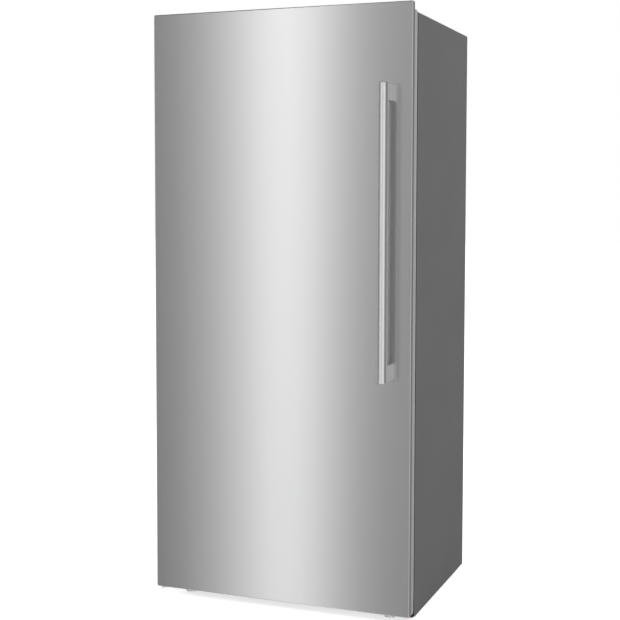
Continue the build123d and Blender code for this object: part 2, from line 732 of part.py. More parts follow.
def roller_bracket():
    """Two cheeks under a top plate, with the riveted axle, on the right side."""
    half = ROLLER_WIDTH / 2 + ROLLER_SIDE_GAP
    inner, outer = ROLLER_X - half - FRAME_PLATE, ROLLER_X + half + FRAME_PLATE
    y0, y1 = ROLLER_Y - CHEEK_HALF_DEPTH, ROLLER_Y + CHEEK_HALF_DEPTH
    top = DECK_HEIGHT - FRAME_PLATE
    bracket = block(inner, outer, y0, y1, top - FRAME_PLATE, top)
    for x in (inner, outer - FRAME_PLATE):
        cheek = block(x, x + FRAME_PLATE, y0, y1, ROLLER_RADIUS / 2, top)
        bracket += fillet(cheek.edges().filter_by(Axis.X).group_by(Axis.Z)[0], ROLLER_RADIUS / 2)
    return bracket + rod_x(inner, outer, ROLLER_Y, ROLLER_RADIUS, AXLE_RADIUS)


def roller_well():
    half_x, half_y = ROLLER_WIDTH / 2 + ROLLER_WELL_GAP, CHEEK_HALF_DEPTH + ROLLER_WELL_GAP
    x0, x1 = ROLLER_X - half_x, ROLLER_X + half_x
    return block(x0, x1, ROLLER_Y - half_y, ROLLER_Y + half_y, 0, PLATE_TOP + PAST)


def base_frame():
    """Welded base: rails, compressor plate, leg nuts, mount studs and roller brackets."""
    top = DECK_HEIGHT
    frame = centred(INSIDE, FRAME_FRONT, RAIL_BACK, top - FRAME_PLATE, top)
    frame += centred(INSIDE, FRAME_FRONT, RAIL_BACK, FRAME_BOTTOM, FRAME_BOTTOM + FRAME_PLATE)
    frame += centred(INSIDE, FRAME_FRONT, FRAME_FRONT + FRAME_PLATE, FRAME_BOTTOM, top)
    rail_low = CABINET_BOTTOM + SIDE_RAIL_RISE
    side = block(INSIDE - FRAME_PLATE, INSIDE, FRAME_FRONT, PANEL_FRONT, rail_low, top)
    side += block(INSIDE - SIDE_RAIL_FLANGE, INSIDE, FRAME_FRONT, PANEL_FRONT, top - FRAME_PLATE, top)
    frame += side + mirrored(side)
    plate = centred(INSIDE, MACHINE_FRONT + SHEET, PANEL_FRONT, BASE_PLATE_HEIGHT, PLATE_TOP)
    rear_half = ROLLER_X - CHEEK_HALF_DEPTH - FRAME_PLATE
    rear_y, rear_top = PANEL_FRONT - FRAME_PLATE, PLATE_TOP + REAR_FLANGE
    plate += centred(rear_half, rear_y, PANEL_FRONT, BASE_PLATE_HEIGHT, rear_top)
    frame += plate - roller_well() - mirrored(roller_well())
    frame += roller_bracket() + mirrored(roller_bracket())
    for x in (-LEG_X, LEG_X):
        frame += rod_z(x, LEG_Y, FRAME_BOTTOM, FRAME_BOTTOM + FRAME_PLATE + NUT_HEIGHT, NUT_RADIUS)
        frame -= rod_z(x, LEG_Y, 0, top - FRAME_PLATE, LEG_STUD_RADIUS + LEG_STUD_CLEARANCE)
    for x, y in mount_places():
        frame += rod_z(x, y, BASE_PLATE_HEIGHT, COMPRESSOR_LOW + MOUNT_STUD_PROUD, MOUNT_STUD_RADIUS)
    for x, y in lower_screw_places():
        frame -= rod_z(x, y, 0, FRAME_BOTTOM + SCREW_LENGTH, HINGE_SCREW_RADIUS)
    return frame - cover_screw_holes()


def toe_grille():
    """Black slotted kick plate, with the lip that reaches under the door."""
    lip_top = GRILLE_LIP_HEIGHT + GRILLE_LIP
    lip_front = CABINET_FRONT - GRILLE_LIP_REACH
    grille = centred(INSIDE, CABINET_FRONT, FRAME_FRONT, FRAME_BOTTOM + FRAME_PLATE, DECK_HEIGHT)
    grille += block(GRILLE_LEFT, INSIDE, CABINET_FRONT, FRAME_FRONT, GRILLE_LIP_HEIGHT, DECK_HEIGHT)
    lip = block(GRILLE_LEFT, INSIDE, lip_front, CABINET_FRONT, GRILLE_LIP_HEIGHT, lip_top)
    grille += fillet(lip.edges().filter_by(Axis.X).group_by(Axis.Y)[0], GRILLE_LIP / 2 - 0.5)
    pitch = (CABINET_WIDTH - 2 * GRILLE_END_MARGIN) / GRILLE_SLOTS
    y0, y1 = CABINET_FRONT - PAST, FRAME_FRONT + PAST
    for row in range(GRILLE_SLOT_ROWS):
        z = FRAME_BOTTOM + (row + 1) * GRILLE_SLOT_RISE
        for x in spread(GRILLE_SLOTS, pitch):
            grille -= slot_x(pitch - GRILLE_SLOT_BRIDGE, GRILLE_SLOT_HEIGHT, x, y0, y1, z)
    return grille


def machine_cover():
    """Rear cover of the machine space, with its louvre slots and the inlet's cut-out."""
    low = BASE_PLATE_HEIGHT - COVER_FOOT_DROP
    cover = centred(INSIDE - SHEET, PANEL_FRONT, PANEL_BACK, low, MACHINE_HEIGHT)
    y0, y1 = PANEL_FRONT - PAST, PANEL_BACK + PAST
    for x in spread(COVER_SLOT_COLUMNS, COVER_SLOT_PITCH):
        for row in range(COVER_SLOT_ROWS):
            z = COVER_SLOT_LOW + COVER_SLOT_RISE * row
            cover -= slot_x(COVER_SLOT_WIDTH, SLOT_HEIGHT, x + COVER_SLOT_CENTRE, y0, y1, z)
    return cover - inlet_form(0, y0, y1) - cover_screw_holes()


def inlet_form(grow, y0, y1):
    half_x, half_z = INLET_WIDTH / 2 + grow, INLET_HEIGHT / 2 + grow
    return block(INLET_X - half_x, INLET_X + half_x, y0, y1, INLET_Z - half_z, INLET_Z + half_z)


def power_inlet():
    """Three-pin appliance inlet: a flanged body in the cover, with its blades inside the mouth."""
    front, back = PANEL_FRONT - INLET_DEPTH, PANEL_BACK + SHEET
    inlet = inlet_form(0, front, back) + inlet_form(INLET_FLANGE, PANEL_BACK, back)
    inlet -= inlet_form(-INLET_WALL, front + INLET_FLOOR, back + PAST)
    for x, z in ((-8, -3), (8, -3), (0, 4)):
        blade = block(x - 2, x + 2, front + INLET_FLOOR - 1, PANEL_BACK - 3, z - 1.2, z + 1.2)
        inlet += Pos(INLET_X, 0, INLET_Z) * blade
    return inlet


def levelling_leg(x):
    """Round foot with a flat sole, a hexagon and the threaded stud."""
    sole = rod_z(x, LEG_Y, 0, LEG_FOOT, LEG_FOOT_RADIUS)
    foot = fillet(sole.edges().group_by(Axis.Z)[-1], LEG_FOOT / 4)
    flats = Pos(x, LEG_Y, LEG_FOOT) * extrude(RegularPolygon(LEG_HEX, 6), LEG_HEX_HEIGHT)
    return foot + flats + rod_z(x, LEG_Y, LEG_FOOT, LEG_FOOT + LEG_STUD_LENGTH, LEG_STUD_RADIUS)


def roller(x):
    """Transport roller with a recess in each side."""
    half = ROLLER_WIDTH / 2
    wheel = rod_x(x - half, x + half, ROLLER_Y, ROLLER_RADIUS, ROLLER_RADIUS)
    wheel = fillet(wheel.edges().filter_by(GeomType.CIRCLE), 1.5)
    hub, rim = AXLE_RADIUS + 3.5, ROLLER_RADIUS - 6
    for x0, x1 in ((x - half, x - half + 4), (x + half - 4, x + half)):
        recess = rod_x(x0, x1, ROLLER_Y, ROLLER_RADIUS, rim)
        wheel -= recess - rod_x(x0, x1, ROLLER_Y, ROLLER_RADIUS, hub)
    bore = AXLE_RADIUS + AXLE_CLEARANCE
    return wheel - rod_x(x - ROLLER_WIDTH, x + ROLLER_WIDTH, ROLLER_Y, ROLLER_RADIUS, bore)


# ------------------------------------------------------------ machine parts


def compressor_pod(inset):
    """The compressor's drawn steel pod, drawn in by its wall."""
    low, high = COMPRESSOR_LOW + inset, COMPRESSOR_LOW + COMPRESSOR_HEIGHT - inset
    pod = rod_z(COMPRESSOR_X, MACHINE_CENTRE, low, high, COMPRESSOR_RADIUS - inset)
    pod = fillet(pod.edges().group_by(Axis.Z)[-1], COMPRESSOR_CROWN - inset)
    return fillet(pod.edges().group_by(Axis.Z)[0], COMPRESSOR_KEEL - inset)


def compressor_seam():
    low = COMPRESSOR_LOW + SEAM_LIFT
    return rod_z(COMPRESSOR_X, MACHINE_CENTRE, low, low + SEAM_HEIGHT, COMPRESSOR_RADIUS + SEAM_REACH)


def compressor():
    """Pod with its weld seam and mounting foot, and the motor and pump inside."""
    half_x = MOUNT_SPACING_X / 2 + COMPRESSOR_FOOT_MARGIN
    half_y = MOUNT_SPACING_Y / 2 + COMPRESSOR_FOOT_MARGIN
    foot_low = COMPRESSOR_LOW - COMPRESSOR_FOOT
    foot = block(-half_x, half_x, -half_y, half_y, foot_low, COMPRESSOR_LOW)
    foot = Pos(COMPRESSOR_X, MACHINE_CENTRE, 0) * rounded(foot, Axis.Z, COMPRESSOR_FOOT_MARGIN - 2)
    for x, y in mount_places():
        foot -= rod_z(x, y, foot_low - PAST, COMPRESSOR_LOW + PAST, MOUNT_STUD_RADIUS + 2)
    hull = (compressor_pod(0) + compressor_seam() + foot) - compressor_pod(COMPRESSOR_WALL)
    pump_low = COMPRESSOR_LOW + COMPRESSOR_WALL
    pump = rod_z(COMPRESSOR_X, MACHINE_CENTRE, pump_low, pump_low + PUMP_HEIGHT, PUMP_RADIUS)
    return group([hull, pump])


def compressor_mounts():
    """Four rubber mounts on the base plate's studs."""
    mounts = []
    hole = MOUNT_STUD_RADIUS + MOUNT_HOLE_CLEARANCE
    for x, y in mount_places():
        body = rod_z(x, y, PLATE_TOP, PLATE_TOP + MOUNT_HEIGHT, MOUNT_RADIUS)
        mounts.append(body - rod_z(x, y, PLATE_TOP, PLATE_TOP + MOUNT_HEIGHT, hole))
    return group(mounts)


def terminal_cover():
    """Relay and terminal cover on the compressor's side, towards the fan."""
    x0 = COMPRESSOR_X + COMPRESSOR_RADIUS - TERMINAL_INSET
    x1 = COMPRESSOR_X + COMPRESSOR_RADIUS + TERMINAL_REACH
    y0, y1 = MACHINE_CENTRE - TERMINAL_WIDTH / 2, MACHINE_CENTRE + TERMINAL_WIDTH / 2
    low = COMPRESSOR_LOW + TERMINAL_LIFT
    cover = rounded(block(x0, x1, y0, y1, low, low + TERMINAL_HEIGHT), Axis.Z, 5)
    reach = COMPRESSOR_RADIUS + HOLE_CLEARANCE
    return cover - rod_z(COMPRESSOR_X, MACHINE_CENTRE, 0, MACHINE_HEIGHT, reach)


def condenser_places():
    """Tube centres of the condenser in the XZ plane, in the order the gas runs."""
    places = []
    for column, dx in enumerate(spread(CONDENSER_COLUMNS, CONDENSER_PITCH)):
        rows = list(range(CONDENSER_PASSES))
        for row in rows if column % 2 == 0 else rows[::-1]:
            places.append((CONDENSER_X + dx, CONDENSER_LOW + row * CONDENSER_PITCH))
    return places


def condenser_ends():
    """Where the condenser's first and last passes end."""
    places = condenser_places()
    near, far = CONDENSER_Y0 - CONDENSER_END, CONDENSER_Y1 + CONDENSER_END
    (x0, z0), (x1, z1) = places[0], places[-1]
    return (x0, near, z0), (x1, far if len(places) % 2 else near, z1)


def condenser_coil():
    """Straight passes along Y joined by return bends."""
    bend = CONDENSER_PITCH / 2 - BEND_RELIEF
    ends = (CONDENSER_Y0 - bend, CONDENSER_Y1 + bend)
    points = []
    for k, (x, z) in enumerate(condenser_places()):
        points += [(x, y, z) for y in (ends if k % 2 == 0 else ends[::-1])]
    points[0], points[-1] = condenser_ends()
    return tube(points, bend, CONDENSER_TUBE)


def condenser_fin_rows():
    """Y of every fin; the two end ones are thicker and stand on the pan's pads."""
    reach = 2 * (CONDENSER_HALF_LENGTH - CONDENSER_END)
    return [MACHINE_CENTRE + dy for dy in spread(CONDENSER_FINS, reach / (CONDENSER_FINS - 1))]


def condenser_fins():
    half = (CONDENSER_COLUMNS - 1) / 2 * CONDENSER_PITCH + CONDENSER_FIN_MARGIN
    low = PAN_TOP + CONDENSER_PAD
    top = CONDENSER_LOW + (CONDENSER_PASSES - 1) * CONDENSER_PITCH + CONDENSER_FIN_MARGIN
    rows = condenser_fin_rows()
    fins = []
    for y in rows:
        depth = CONDENSER_END_FIN / 2 if y in (rows[0], rows[-1]) else FIN / 2
        fin = block(CONDENSER_X - half, CONDENSER_X + half, y - depth, y + depth, low, top)
        for x, z in condenser_places():
            fin -= rod_y(x, y - PAST, y + PAST, z, CONDENSER_TUBE + FIN_HOLE_CLEARANCE)
        fins.append(fin)
    return group(fins)


def condenser_fan_mount():
    """Sheet with the fan's collar, a cross of arms, the motor and the shaft."""
    x, y, z = CONDENSER_FAN_X, MACHINE_CENTRE, CONDENSER_FAN_Z
    ring = CONDENSER_FAN_RADIUS + FAN_TIP_GAP
    right = x + FAN_SHEET / 2
    top = MACHINE_HEIGHT - FAN_SHEET_TOP_GAP
    sheet = block(right - FAN_SHEET, right, y - FAN_SHEET_FRONT, y + FAN_SHEET_BACK, PLATE_TOP, top)
    sheet = rounded(sheet, Axis.X, 8)
    sheet += rod_x(x - FAN_COLLAR, right, y, z, ring + FAN_RING_WALL)
    sheet -= rod_x(x - FAN_COLLAR - PAST, right + PAST, y, z, ring)
    motor_right = x - CONDENSER_MOTOR_GAP
    motor = rod_x(motor_right - CONDENSER_MOTOR_LENGTH, motor_right, y, z, CONDENSER_MOTOR_RADIUS)
    mount = sheet + fillet(motor.edges().filter_by(GeomType.CIRCLE), 3)
    arm_x0, arm_x1, half = motor_right - 2 * FAN_ARM, motor_right - FAN_ARM, FAN_ARM
    reach = ring + FAN_RING_WALL - 0.5
    mount += block(arm_x0, arm_x1, y - reach, y + reach, z - half, z + half)
    mount += block(arm_x0, arm_x1, y - half, y + half, z - reach, z + reach)
    for turn in range(4):
        foot = block(arm_x0, x - FAN_COLLAR + 1, ring, reach, -half, half)
        mount += Pos(0, y, z) * Rot(90 * turn, 0, 0) * foot
    foot_x0 = right - FAN_SHEET - FAN_FOOT_REACH
    mount += block(foot_x0, right, y - FAN_FOOT_HALF, y + FAN_FOOT_HALF, PLATE_TOP, PLATE_TOP + FAN_SHEET)
    return mount + rod_x(motor_right - 1, x + CONDENSER_FAN_OFFSET, y, z, SHAFT_RADIUS)


def condenser_fan_blade():
    wheel = fan_wheel(CONDENSER_FAN_RADIUS, 17, CONDENSER_FAN_DEPTH, 5, 42, 28)
    place = Pos(CONDENSER_FAN_X - CONDENSER_FAN_OFFSET, MACHINE_CENTRE, CONDENSER_FAN_Z)
    return place * Rot(0, 90, 0) * wheel


def evaporation_pan():
    """Open tray on the base plate, under the condenser and the drain."""
    y0, y1 = MACHINE_CENTRE - PAN_HALF_DEPTH, MACHINE_CENTRE + PAN_HALF_DEPTH
    w = PAN_WALL
    pan = rounded(block(PAN_LEFT, PAN_RIGHT, y0, y1, PLATE_TOP, PAN_TOP), Axis.Z, PAN_CORNER)
    inner = block(PAN_LEFT + w, PAN_RIGHT - w, y0 + w, y1 - w, PLATE_TOP + w, PAN_TOP + PAST)
    pan -= rounded(inner, Axis.Z, PAN_CORNER - w)
    rows = condenser_fin_rows()
    x0, x1 = CONDENSER_X - CONDENSER_PAD_HALF_WIDTH, CONDENSER_X + CONDENSER_PAD_HALF_WIDTH
    for y in (rows[0], rows[-1]):
        pan += block(x0, x1, y - CONDENSER_PAD, y + CONDENSER_PAD, PLATE_TOP, PAN_TOP + CONDENSER_PAD)
    return pan


def refrigerant_lines():
    """Discharge line, liquid line with its drier, and suction line, each one solid."""
    pod = compressor_pod(0) + compressor_seam()
    start, end = condenser_ends()
    wall_y = MACHINE_FRONT + LINE_FROM_WALL
    plate_z = PLATE_TOP + LINE_ABOVE_PLATE
    turn_x = COMPRESSOR_X + COMPRESSOR_RADIUS + 10
    discharge = tube(
        [start, (start[0], wall_y, start[2]), (start[0], wall_y, plate_z), (turn_x, wall_y, plate_z),
         (turn_x, wall_y, DISCHARGE_HEIGHT), (COMPRESSOR_X + 20, MACHINE_CENTRE - 40, DISCHARGE_HEIGHT)],
        LINE_BEND, CONDENSER_TUBE)
    can_y, can_z = end[1] + LINE_BEND, MACHINE_HEIGHT - LIQUID_LINE_DROP
    drier_left = DRIER_RIGHT - DRIER_LENGTH
    liquid = tube(
        [end, (end[0], can_y, end[2]), (end[0], can_y, can_z), (DRIER_RIGHT, can_y, can_z)],
        LINE_BEND - 2, CONDENSER_TUBE)
    can = rod_x(drier_left, DRIER_RIGHT, can_y, can_z, DRIER_RADIUS)
    can = fillet(can.edges().filter_by(GeomType.CIRCLE), 4)
    side_x = LINE_X - LIQUID_LINE_OFFSET
    riser = tube(
        [(drier_left, can_y, can_z), (side_x, can_y, can_z), (side_x, COIL_FRONT_Y, can_z),
         (LINE_X, COIL_FRONT_Y, can_z), (LINE_X, COIL_FRONT_Y, EVAPORATOR_LOW),
         (STUB_X, COIL_FRONT_Y, EVAPORATOR_LOW)],
        2 * LIQUID_LINE_RADIUS, LIQUID_LINE_RADIUS)
    suction = tube(
        [(STUB_X, COIL_BACK_Y, EVAPORATOR_LOW), (LINE_X, COIL_BACK_Y, EVAPORATOR_LOW),
         (LINE_X, COIL_BACK_Y, SUCTION_HEIGHT), (COMPRESSOR_X - 30, MACHINE_CENTRE + 10, SUCTION_HEIGHT)],
        2 * EVAPORATOR_TUBE, EVAPORATOR_TUBE)
    return group([discharge - pod, liquid + can + riser, suction - pod])


# ------------------------------------------------------------ evaporator


def evaporator_coil():
    """Serpentine up the front row and down the back row, with both ends at the lower left."""
    bend = COIL_ROW_SPACING / 2 - BEND_RELIEF
    outer = EVAPORATOR_HALF + EVAPORATOR_PITCH / 2 - BEND_RELIEF
    rise = [EVAPORATOR_LOW + k * EVAPORATOR_PITCH for k in range(EVAPORATOR_PASSES)]
    points = []
    for y, levels in ((COIL_FRONT_Y, rise), (COIL_BACK_Y, rise[::-1])):
        for k, z in enumerate(levels):
            points += [(x, y, z) for x in ((-outer, outer) if k % 2 == 0 else (outer, -outer))]
    points[0] = (STUB_X, COIL_FRONT_Y, EVAPORATOR_LOW)
    points[-1] = (STUB_X, COIL_BACK_Y, EVAPORATOR_LOW)
    return tube(points, bend, EVAPORATOR_TUBE)


def evaporator_fins():
    """Fins across both rows of passes, with a lower pair of holes for the heater's legs."""
    low, high = HEATER_Z - FIN_MARGIN, EVAPORATOR_TOP + FIN_MARGIN
    fin = centred(FIN / 2, COIL_FRONT_Y - FIN_FRONT, CAVITY_BACK - FIN_BACK_GAP, low, high)
    for y in (COIL_FRONT_Y, COIL_BACK_Y):
        fin -= rod_x(-PAST, PAST, y, HEATER_Z, HEATER_RADIUS + FIN_HOLE_CLEARANCE)
        for k in range(EVAPORATOR_PASSES):
            z = EVAPORATOR_LOW + k * EVAPORATOR_PITCH
            fin -= rod_x(-PAST, PAST, y, z, EVAPORATOR_TUBE + FIN_HOLE_CLEARANCE)
    pitch = 2 * (EVAPORATOR_HALF - FIN_END_INSET) / (EVAPORATOR_FINS - 1)
    return group([Pos(x, 0, 0) * fin for x in spread(EVAPORATOR_FINS, pitch)])


def defrost_heater():
    """Hairpin sheath heater through the lower fin holes."""
    outer = EVAPORATOR_HALF + HEATER_END
    corners = [(-outer, COIL_FRONT_Y), (outer, COIL_FRONT_Y), (outer, COIL_BACK_Y), (-outer, COIL_BACK_Y)]
    points = [(x, y, HEATER_Z) for x, y in corners]
    return tube(points, COIL_ROW_SPACING / 2 - BEND_RELIEF, HEATER_RADIUS)


def evaporator_fan_motor():
    """Ring on the cover's inner face, three arms, motor and shaft."""
    y0, y1 = COVER_INNER, COVER_INNER + FAN_RING_DEPTH
    ring = EVAPORATOR_FAN_RADIUS + FAN_TIP_GAP
    body = rod_y(0, y0, y1, FAN_Z, ring + FAN_RING_WALL)
    body -= rod_y(0, y0 - PAST, y1 + PAST, FAN_Z, ring)
    motor = rod_y(0, y1 - FAN_ARM, y1 + FAN_MOTOR_LENGTH, FAN_Z, FAN_MOTOR_RADIUS)
    body += fillet(motor.edges().filter_by(GeomType.CIRCLE).group_by(Axis.Y)[-1], 3)
    half = FAN_ARM_WIDTH / 2
    for k in range(3):
        arm = block(FAN_MOTOR_RADIUS - 5, ring + 1, y1 - FAN_ARM, y1, -half, half)
        body += Pos(0, 0, FAN_Z) * Rot(0, 90 + 120 * k, 0) * arm
    return body + rod_y(0, y0 + FAN_ARM, y1, FAN_Z, SHAFT_RADIUS)


def evaporator_fan_blade():
    wheel = fan_wheel(EVAPORATOR_FAN_RADIUS, 14, EVAPORATOR_FAN_DEPTH, 5, 34, 26)
    return Pos(0, COVER_INNER + FAN_RING_DEPTH / 2, FAN_Z) * Rot(90, 0, 0) * wheel


def cover_form(inset):
    """Evaporator cover and duct as one closed form, open at the back, drawn in by the wall."""
    front, duct_front = COVER_FRONT + inset, DUCT_FRONT + inset
    low = centred(COVER_HALF - inset, front, CAVITY_BACK, STEP_TOP, COVER_TOP - inset)
    duct = centred(DUCT_HALF_WIDTH - inset, duct_front, CAVITY_BACK, FAN_Z, DUCT_TOP - inset)
    low = fillet(low.edges().filter_by(Axis.Z).group_by(Axis.Y)[0], COVER_CORNER - inset)
    duct = fillet(duct.edges().filter_by(Axis.Z).group_by(Axis.Y)[0], COVER_CORNER - inset)
    return low + duct


def wall_cells(half, front, low, high):
    """Boxes round the front, the two corners and the two side walls of one level of the cover."""
    side, back = half - COVER_CORNER, front + COVER_CORNER
    cells = [centred(side, front, back, low, high)]
    for x0, x1 in ((-half, -side), (side, half)):
        cells += [block(x0, x1, front, back, low, high), block(x0, x1, back, CAVITY_BACK, low, high)]
    return cells


def cover_cells():
    """Boxes that part the cover into flat walls, which touch, so that the space behind it stays open."""
    lid, duct_lid = COVER_TOP - COVER_WALL, DUCT_TOP - COVER_WALL
    side = DUCT_HALF_WIDTH - COVER_CORNER
    low = wall_cells(COVER_HALF, COVER_FRONT, STEP_TOP, lid)
    duct = wall_cells(DUCT_HALF_WIDTH, DUCT_FRONT, COVER_TOP, duct_lid)
    lids = [centred(side, COVER_FRONT, DUCT_FRONT + COVER_WALL, lid, COVER_TOP)]
    for x0, x1 in ((-COVER_HALF, -side), (side, COVER_HALF)):
        lids.append(block(x0, x1, COVER_FRONT, CAVITY_BACK, lid, COVER_TOP))
    lids.append(centred(DUCT_HALF_WIDTH, DUCT_FRONT, CAVITY_BACK, duct_lid, DUCT_TOP))
    return low + duct + lids


def evaporator_cover():
    """Moulded rear wall over the evaporator, with the return slots, fan grille and duct outlets."""
    cover = cover_form(0) - cover_form(COVER_WALL)
    notch = CAVITY_CORNER + 1
    notch_y, notch_top = CAVITY_BACK - notch, STEP_TOP + notch
    cover -= centred(CAVITY_HALF, notch_y, CAVITY_BACK + PAST, STEP_TOP - PAST, notch_top)
    y0, y1 = COVER_FRONT - PAST, COVER_INNER + PAST
    width = RETURN_SLOT_PITCH - RETURN_SLOT_BRIDGE
    for row in range(RETURN_SLOT_ROWS):
        z = STEP_TOP + RETURN_SLOT_LIFT + SLOT_RISE * row
        for x in spread(RETURN_SLOT_COLUMNS, RETURN_SLOT_PITCH):
            cover -= slot_x(width, SLOT_HEIGHT, x, y0, y1, z)
    for row in range(-FAN_SLOT_ROWS, FAN_SLOT_ROWS + 1):
        rise = row * FAN_SLOT_RISE
        half_chord = math.sqrt(EVAPORATOR_FAN_RADIUS ** 2 - rise ** 2)
        cover -= slot_x(2 * half_chord, SLOT_HEIGHT, 0, y0, y1, FAN_Z + rise)
    y0, y1 = DUCT_FRONT - PAST, DUCT_FRONT + COVER_WALL + PAST
    for shelf in SHELF_HEIGHTS[1:]:
        for row in range(DUCT_SLOT_ROWS):
            z = shelf + DUCT_SLOT_LIFT + SLOT_RISE * row
            for x in (-DUCT_HALF_WIDTH / 2, DUCT_HALF_WIDTH / 2):
                cover -= slot_x(DUCT_HALF_WIDTH - DUCT_SLOT_MARGIN, SLOT_HEIGHT, x, y0, y1, z)
    return group([cover & cell for cell in cover_cells()])


def drain_trough():
    """Tray under the evaporator, with the spout that leads through the step to the pan."""
    w = TROUGH_WALL
    y0, y1 = COVER_INNER + TROUGH_GAP, CAVITY_BACK - CAVITY_CORNER
    x0, x1 = -EVAPORATOR_HALF - TROUGH_END, DRAIN_X + TROUGH_DRAIN_END
    top = STEP_TOP + TROUGH_HEIGHT
    tray = block(x0, x1, y0, y1, STEP_TOP, top)
    tray -= block(x0 + w, x1 - w, y0 + w, y1 - w, STEP_TOP + w, top + PAST)
    low = PAN_TOP + DRAIN_ABOVE_PAN
    tray += rod_z(DRAIN_X, COIL_FRONT_Y, low, STEP_TOP + w, DRAIN_RADIUS)
    return tray - rod_z(DRAIN_X, COIL_FRONT_Y, low - PAST, STEP_TOP + w + PAST, DRAIN_RADIUS - w)


# ------------------------------------------------------------ food space


def glass_shelf(z):
    half = CAVITY_HALF - SHELF_SIDE_CLEARANCE
    return rounded(centred(half, SHELF_Y0, SHELF_Y1, z, z + GLASS), Axis.Z, GLASS_CORNER)


def shelf_trims():
    """Front and rear edge profiles of the glass shelves, each with a groove for the glass."""
    half = CAVITY_HALF - SHELF_LEDGE - TRIM_SIDE_GAP
    past = half + PAST
    trims = []
    for z in SHELF_HEIGHTS:
        low, high = z - TRIM_LIP, z + GLASS + TRIM_LIP
        y0, y1 = SHELF_Y0 - TRIM_FRONT, SHELF_Y0 + TRIM_GRIP
        front = rounded(centred(half, y0, y1, low, high + TRIM_FRONT_RISE), Axis.X, TRIM_LIP - 1)
        front -= centred(past, SHELF_Y0, y1 + PAST, z, z + GLASS)
        front -= centred(past, SHELF_Y0 + TRIM_LIP, y1 + PAST, high, high + TRIM_FRONT_RISE + PAST)
        y0, y1 = SHELF_Y1 - TRIM_GRIP, SHELF_Y1 + TRIM_REAR
        rear = rounded(centred(half, y0, y1, low, high + TRIM_REAR_RISE), Axis.X, TRIM_LIP / 2)
        rear -= centred(past, y0 - PAST, SHELF_Y1, z, z + GLASS)
        rear -= centred(past, y0 - PAST, SHELF_Y1, high, high + TRIM_REAR_RISE + PAST)
        trims += [front, rear]
    return group(trims)


def drawer_back(index):
    """The lowest drawer stops at the step, the others at the evaporator cover."""
    wall = STEP_FRONT if index == 0 else COVER_FRONT
    return wall - DRAWER_REAR_GAP


def drawer(index):
    """Clear drawer with side flanges for its runners, a face and a finger slot."""
    top = DRAWER_TOPS[index]
    low, back, w = top - DRAWER_HEIGHT, drawer_back(index), DRAWER_WALL
    front, reach = DRAWER_BODY_FRONT, DRAWER_BODY_FRONT + DRAWER_WALL
    body = rounded(centred(DRAWER_HALF, front, back, low, top), Axis.Z, DRAWER_CORNER)
    body = fillet(body.edges().group_by(Axis.Z)[0], DRAWER_CORNER / 2)
    inner = centred(DRAWER_HALF - w, reach, back - w, low + w, top + PAST)
    inner = rounded(inner, Axis.Z, DRAWER_CORNER - w)
    flange_x0, flange_x1 = DRAWER_HALF - w / 2, DRAWER_HALF + DRAWER_FLANGE
    flange_back = back - RUNNER_REAR_GAP - RUNNER_END - 2
    flange_low = top - DRAWER_FLANGE_THICKNESS
    flange = block(flange_x0, flange_x1, front + DRAWER_CORNER, flange_back, flange_low, top)
    face_half = CAVITY_HALF - DRAWER_FACE_SIDE_GAP
    face = centred(face_half, DRAWER_FACE, reach, low - DRAWER_FACE_DROP, top + DRAWER_FACE_RISE)
    face = rounded(face, Axis.Y, DRAWER_FACE_CORNER)
    face = fillet(face.edges().group_by(Axis.Y)[0], 3)
    y0, y1, z = DRAWER_FACE - PAST, reach + PAST, top - DRAWER_GRIP_DROP
    grip = slot_x(DRAWER_GRIP_WIDTH, DRAWER_GRIP_HEIGHT, 0, y0, y1, z)
    return body + face + flange + mirrored(flange) - inner - grip


def drawer_runners():
    """A pair of rails on the liner's side walls for each drawer."""
    rails = []
    slot_half = DRAWER_HALF + DRAWER_FLANGE + RUNNER_FLANGE_GAP
    x0 = DRAWER_HALF + RUNNER_BODY_GAP
    y0 = DRAWER_BODY_FRONT + DRAWER_CORNER - RUNNER_LEAD
    for index, top in enumerate(DRAWER_TOPS):
        low, high = top - DRAWER_FLANGE_THICKNESS - RUNNER_CLEARANCE, top + RUNNER_CLEARANCE
        y1 = drawer_back(index) - RUNNER_REAR_GAP
        rail = block(x0, CAVITY_HALF, y0, y1, low - RUNNER_FOOT, high + RUNNER_LIP)
        rail -= block(x0 - PAST, slot_half, y0 - PAST, y1 - RUNNER_END, low, high)
        rails += [rail, mirrored(rail)]
    return group(rails)


# ------------------------------------------------------------ controls


def button_places():
    return [BUTTON_FIRST_X + BUTTON_PITCH * k for k in range(BUTTON_COUNT)]


def light_lens():
    """Lamp lens in the housing's floor."""
    middle, half = (HOUSING_FRONT + HOUSING_BACK) / 2, LENS_DEPTH / 2
    low, high = HOUSING_BOTTOM, HOUSING_BOTTOM + HOUSING_WALL
    return rounded(centred(LENS_WIDTH / 2, middle - half, middle + half, low, high), Axis.Z, 6)


